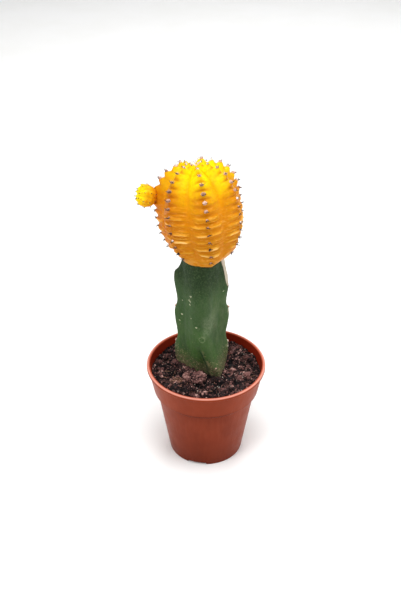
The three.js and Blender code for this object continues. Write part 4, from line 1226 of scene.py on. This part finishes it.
def head_areoles():
    draw = random.Random(19)
    wool, tint_mark = marked_shape("tint")
    spines, along_mark = marked_shape("along")
    bristles, bristle_mark = marked_shape("along")
    for rib in range(head_skin.ribs):
        for areole in range(1, head_skin.areoles + 1):
            middle, out, up, across = areole_frame(head_skin, on_graft, rib, areole)
            if (middle - PUP_CENTRE).length < PUP_CLEAR_OF_SPINES:
                continue
            share = areole / head_skin.areoles
            plump = smoothstep(share, 0.45, 0.64) * (1 - 0.5 * smoothstep(share, 0.76, 0.95))
            size = lerp(0.42, 0.92, plump) * draw.uniform(0.85, 1.15)
            tint = draw.uniform(0.0, 0.4) + 0.25 * smoothstep(share, 0.5, 0.64)
            if share > 0.86 or (rib, areole) in HEAD_WHITE:
                tint = draw.uniform(0.85, 1.1)
            if (rib, areole) in HEAD_SCARS:
                tint = -0.8
                size *= 1.35
            form = Matrix((across, up, out)).transposed().to_4x4() @ Matrix.Diagonal(CUSHION)
            for vertex in ball(wool, middle + out * size * 0.18, size, 2, form):
                offset = (vertex.co - middle) / size
                vertex.co += offset * size * draw.uniform(-0.14, 0.14)
                # Each cushion is painted paler towards its top and darker towards its bottom: painted
                # highlight and painted shade.
                vertex[tint_mark] = tint + 0.28 * offset.dot(up) - 0.14 * offset.dot(across)
            for _ in range(CUSHION_HAIRS):
                lean = across * draw.uniform(-1, 1) + up * draw.uniform(-1, 1)
                course = (out + lean * 0.8).normalized()
                hair = strand(wool, middle + lean * size * 0.45, course, size * draw.uniform(0.8, 1.3),
                              0.045, lean * 0.15, 3, 0)
                for vertex in hair:
                    vertex[tint_mark] = tint + 0.1
            young = smoothstep(share, 0.78, 0.95)
            amount = draw.choice((4, 5, 6)) if share < 0.85 else 3
            for spine in range(amount):
                fan = (spine - (amount - 1) / 2) / amount * 2.6 + draw.uniform(-0.3, 0.3)
                course = out * 0.9 + across * fan + up * draw.uniform(-1.0, 0.2)
                length = draw.uniform(0.9, 1.8) * lerp(1.0, 0.8, young)
                root = middle - out * 0.1 + across * fan * 0.25 - up * size * 0.3
                strand(spines, root, course.normalized(), length, draw.uniform(0.16, 0.25), out * -0.1,
                       5, 1, 0.25, along_mark)
            if share > 0.6:
                for _ in range(2):
                    course = out + across * draw.uniform(-0.9, 0.9) + up * draw.uniform(-0.3, 0.9)
                    bend = (up - out) * draw.uniform(0.0, 0.5)
                    length = draw.uniform(1.3, 2.4)
                    strand(bristles, middle, course.normalized(), length, 0.055, bend,
                           4, 2, 0.2, bristle_mark)
    new_piece(wool, "head_wool", "scion", areole_wool)
    new_piece(spines, "head_spines", "scion", spine_horn)
    new_piece(bristles, "head_bristles", "scion", crown_bristle)


head_areoles()


# The pup: a small round offset that has budded from the left flank of the head, brighter
# yellow than it, with its own small ribs, areoles and fine dark spines.
PUP = dict(
    ribs=8, first_rib=10, areoles=4, radius=4.8, upper_height=3.6, upper_power=2.2,
    lower_height=5.0, lower_power=2.1, waist=PUP_WAIST, lower_spacing=2.2, upper_spacing=2.0,
    spacing_turn=0.5, groove_upper=0.45, groove_lower=0.25, chin=0.5, chin_width=0.5,
    ridge=0.0, phase=0, phase_spread=0.25, seed=23,
)
PUP_AROUND = 128
PUP_ALONG = 96
PUP_WRINKLES = 0.35
pup_turn = Vector((0, 0, 1)).rotation_difference(PUP_DIRECTION)


def on_flank(point):
    """Sets a point of the pup, whose own axis is upright, on the flank of the head."""
    return pup_turn @ (point - Vector((0, 0, PUP_WAIST))) + PUP_CENTRE


def pup_areoles():
    draw = random.Random(31)
    wool, tint_mark = marked_shape("tint")
    spines, along_mark = marked_shape("along")
    for rib in range(pup_skin.ribs):
        for areole in range(1, pup_skin.areoles + 1):
            middle, out, up, across = areole_frame(pup_skin, on_flank, rib, areole)
            size = draw.uniform(0.12, 0.22)
            for vertex in ball(wool, middle, size, 1):
                vertex[tint_mark] = draw.uniform(0.2, 0.5)
            for _ in range(4):
                course = out + across * draw.uniform(-0.7, 0.7) + up * draw.uniform(-0.5, 0.7)
                length = draw.uniform(0.6, 1.2)
                strand(spines, middle - out * 0.1, course.normalized(), length, 0.1, out * -0.05,
                       4, 1, 0.2, along_mark)
    new_piece(wool, "pup_wool", "pup", areole_wool)
    new_piece(spines, "pup_spines", "pup", spine_horn)


pup_skin = RibbedSkin(PUP)
pup_flesh = head_finish(
    "yellow_pup_skin", (255, 224, 10), (246, 200, 12), (236, 160, 14), (236, 142, 8), (-0.0224, -0.0202),
)
pup_shape = ribbed_shape(pup_skin, PUP_AROUND, PUP_ALONG, on_flank, PUP_WRINKLES)
new_piece(pup_shape, "pup_skin", "pup", pup_flesh)
pup_areoles()


# Areoles of the stem: a small tan woolly nub in each notch of a wing's margin, with two or
# three stubby spines.
def stem_areoles():
    draw = random.Random(5)
    wool, tint_mark = marked_shape("tint")
    spines, along_mark = marked_shape("along")
    for wing in range(3):
        for turns in (-1, 0) if wing else (-1,):
            height = STEM_WINGS[wing]["crest"] + turns * STEM_PITCH + STEM_AREOLE_ABOVE_CREST
            out = heading(wing_azimuth(wing, height))
            middle = stem_skin_at(wing, 0, height)[0] - out * 0.1
            for vertex in ball(wool, middle, 0.72 if wing else 0.4, 2):
                vertex.co += (vertex.co - middle) * draw.uniform(-0.16, 0.16)
                vertex[tint_mark] = draw.uniform(0.35, 0.75)
            for _ in range(3):
                course = out + Vector([draw.uniform(-0.8, 0.8) for _ in range(3)])
                strand(spines, middle + out * 0.3, course.normalized(), draw.uniform(0.6, 1.1), 0.14,
                       Vector((0, 0, 0)), 5, 1, 0.2, along_mark)
    new_piece(wool, "stem_wool", "rootstock", areole_wool)
    new_piece(spines, "stem_spines", "rootstock", spine_horn)


stem_areoles()
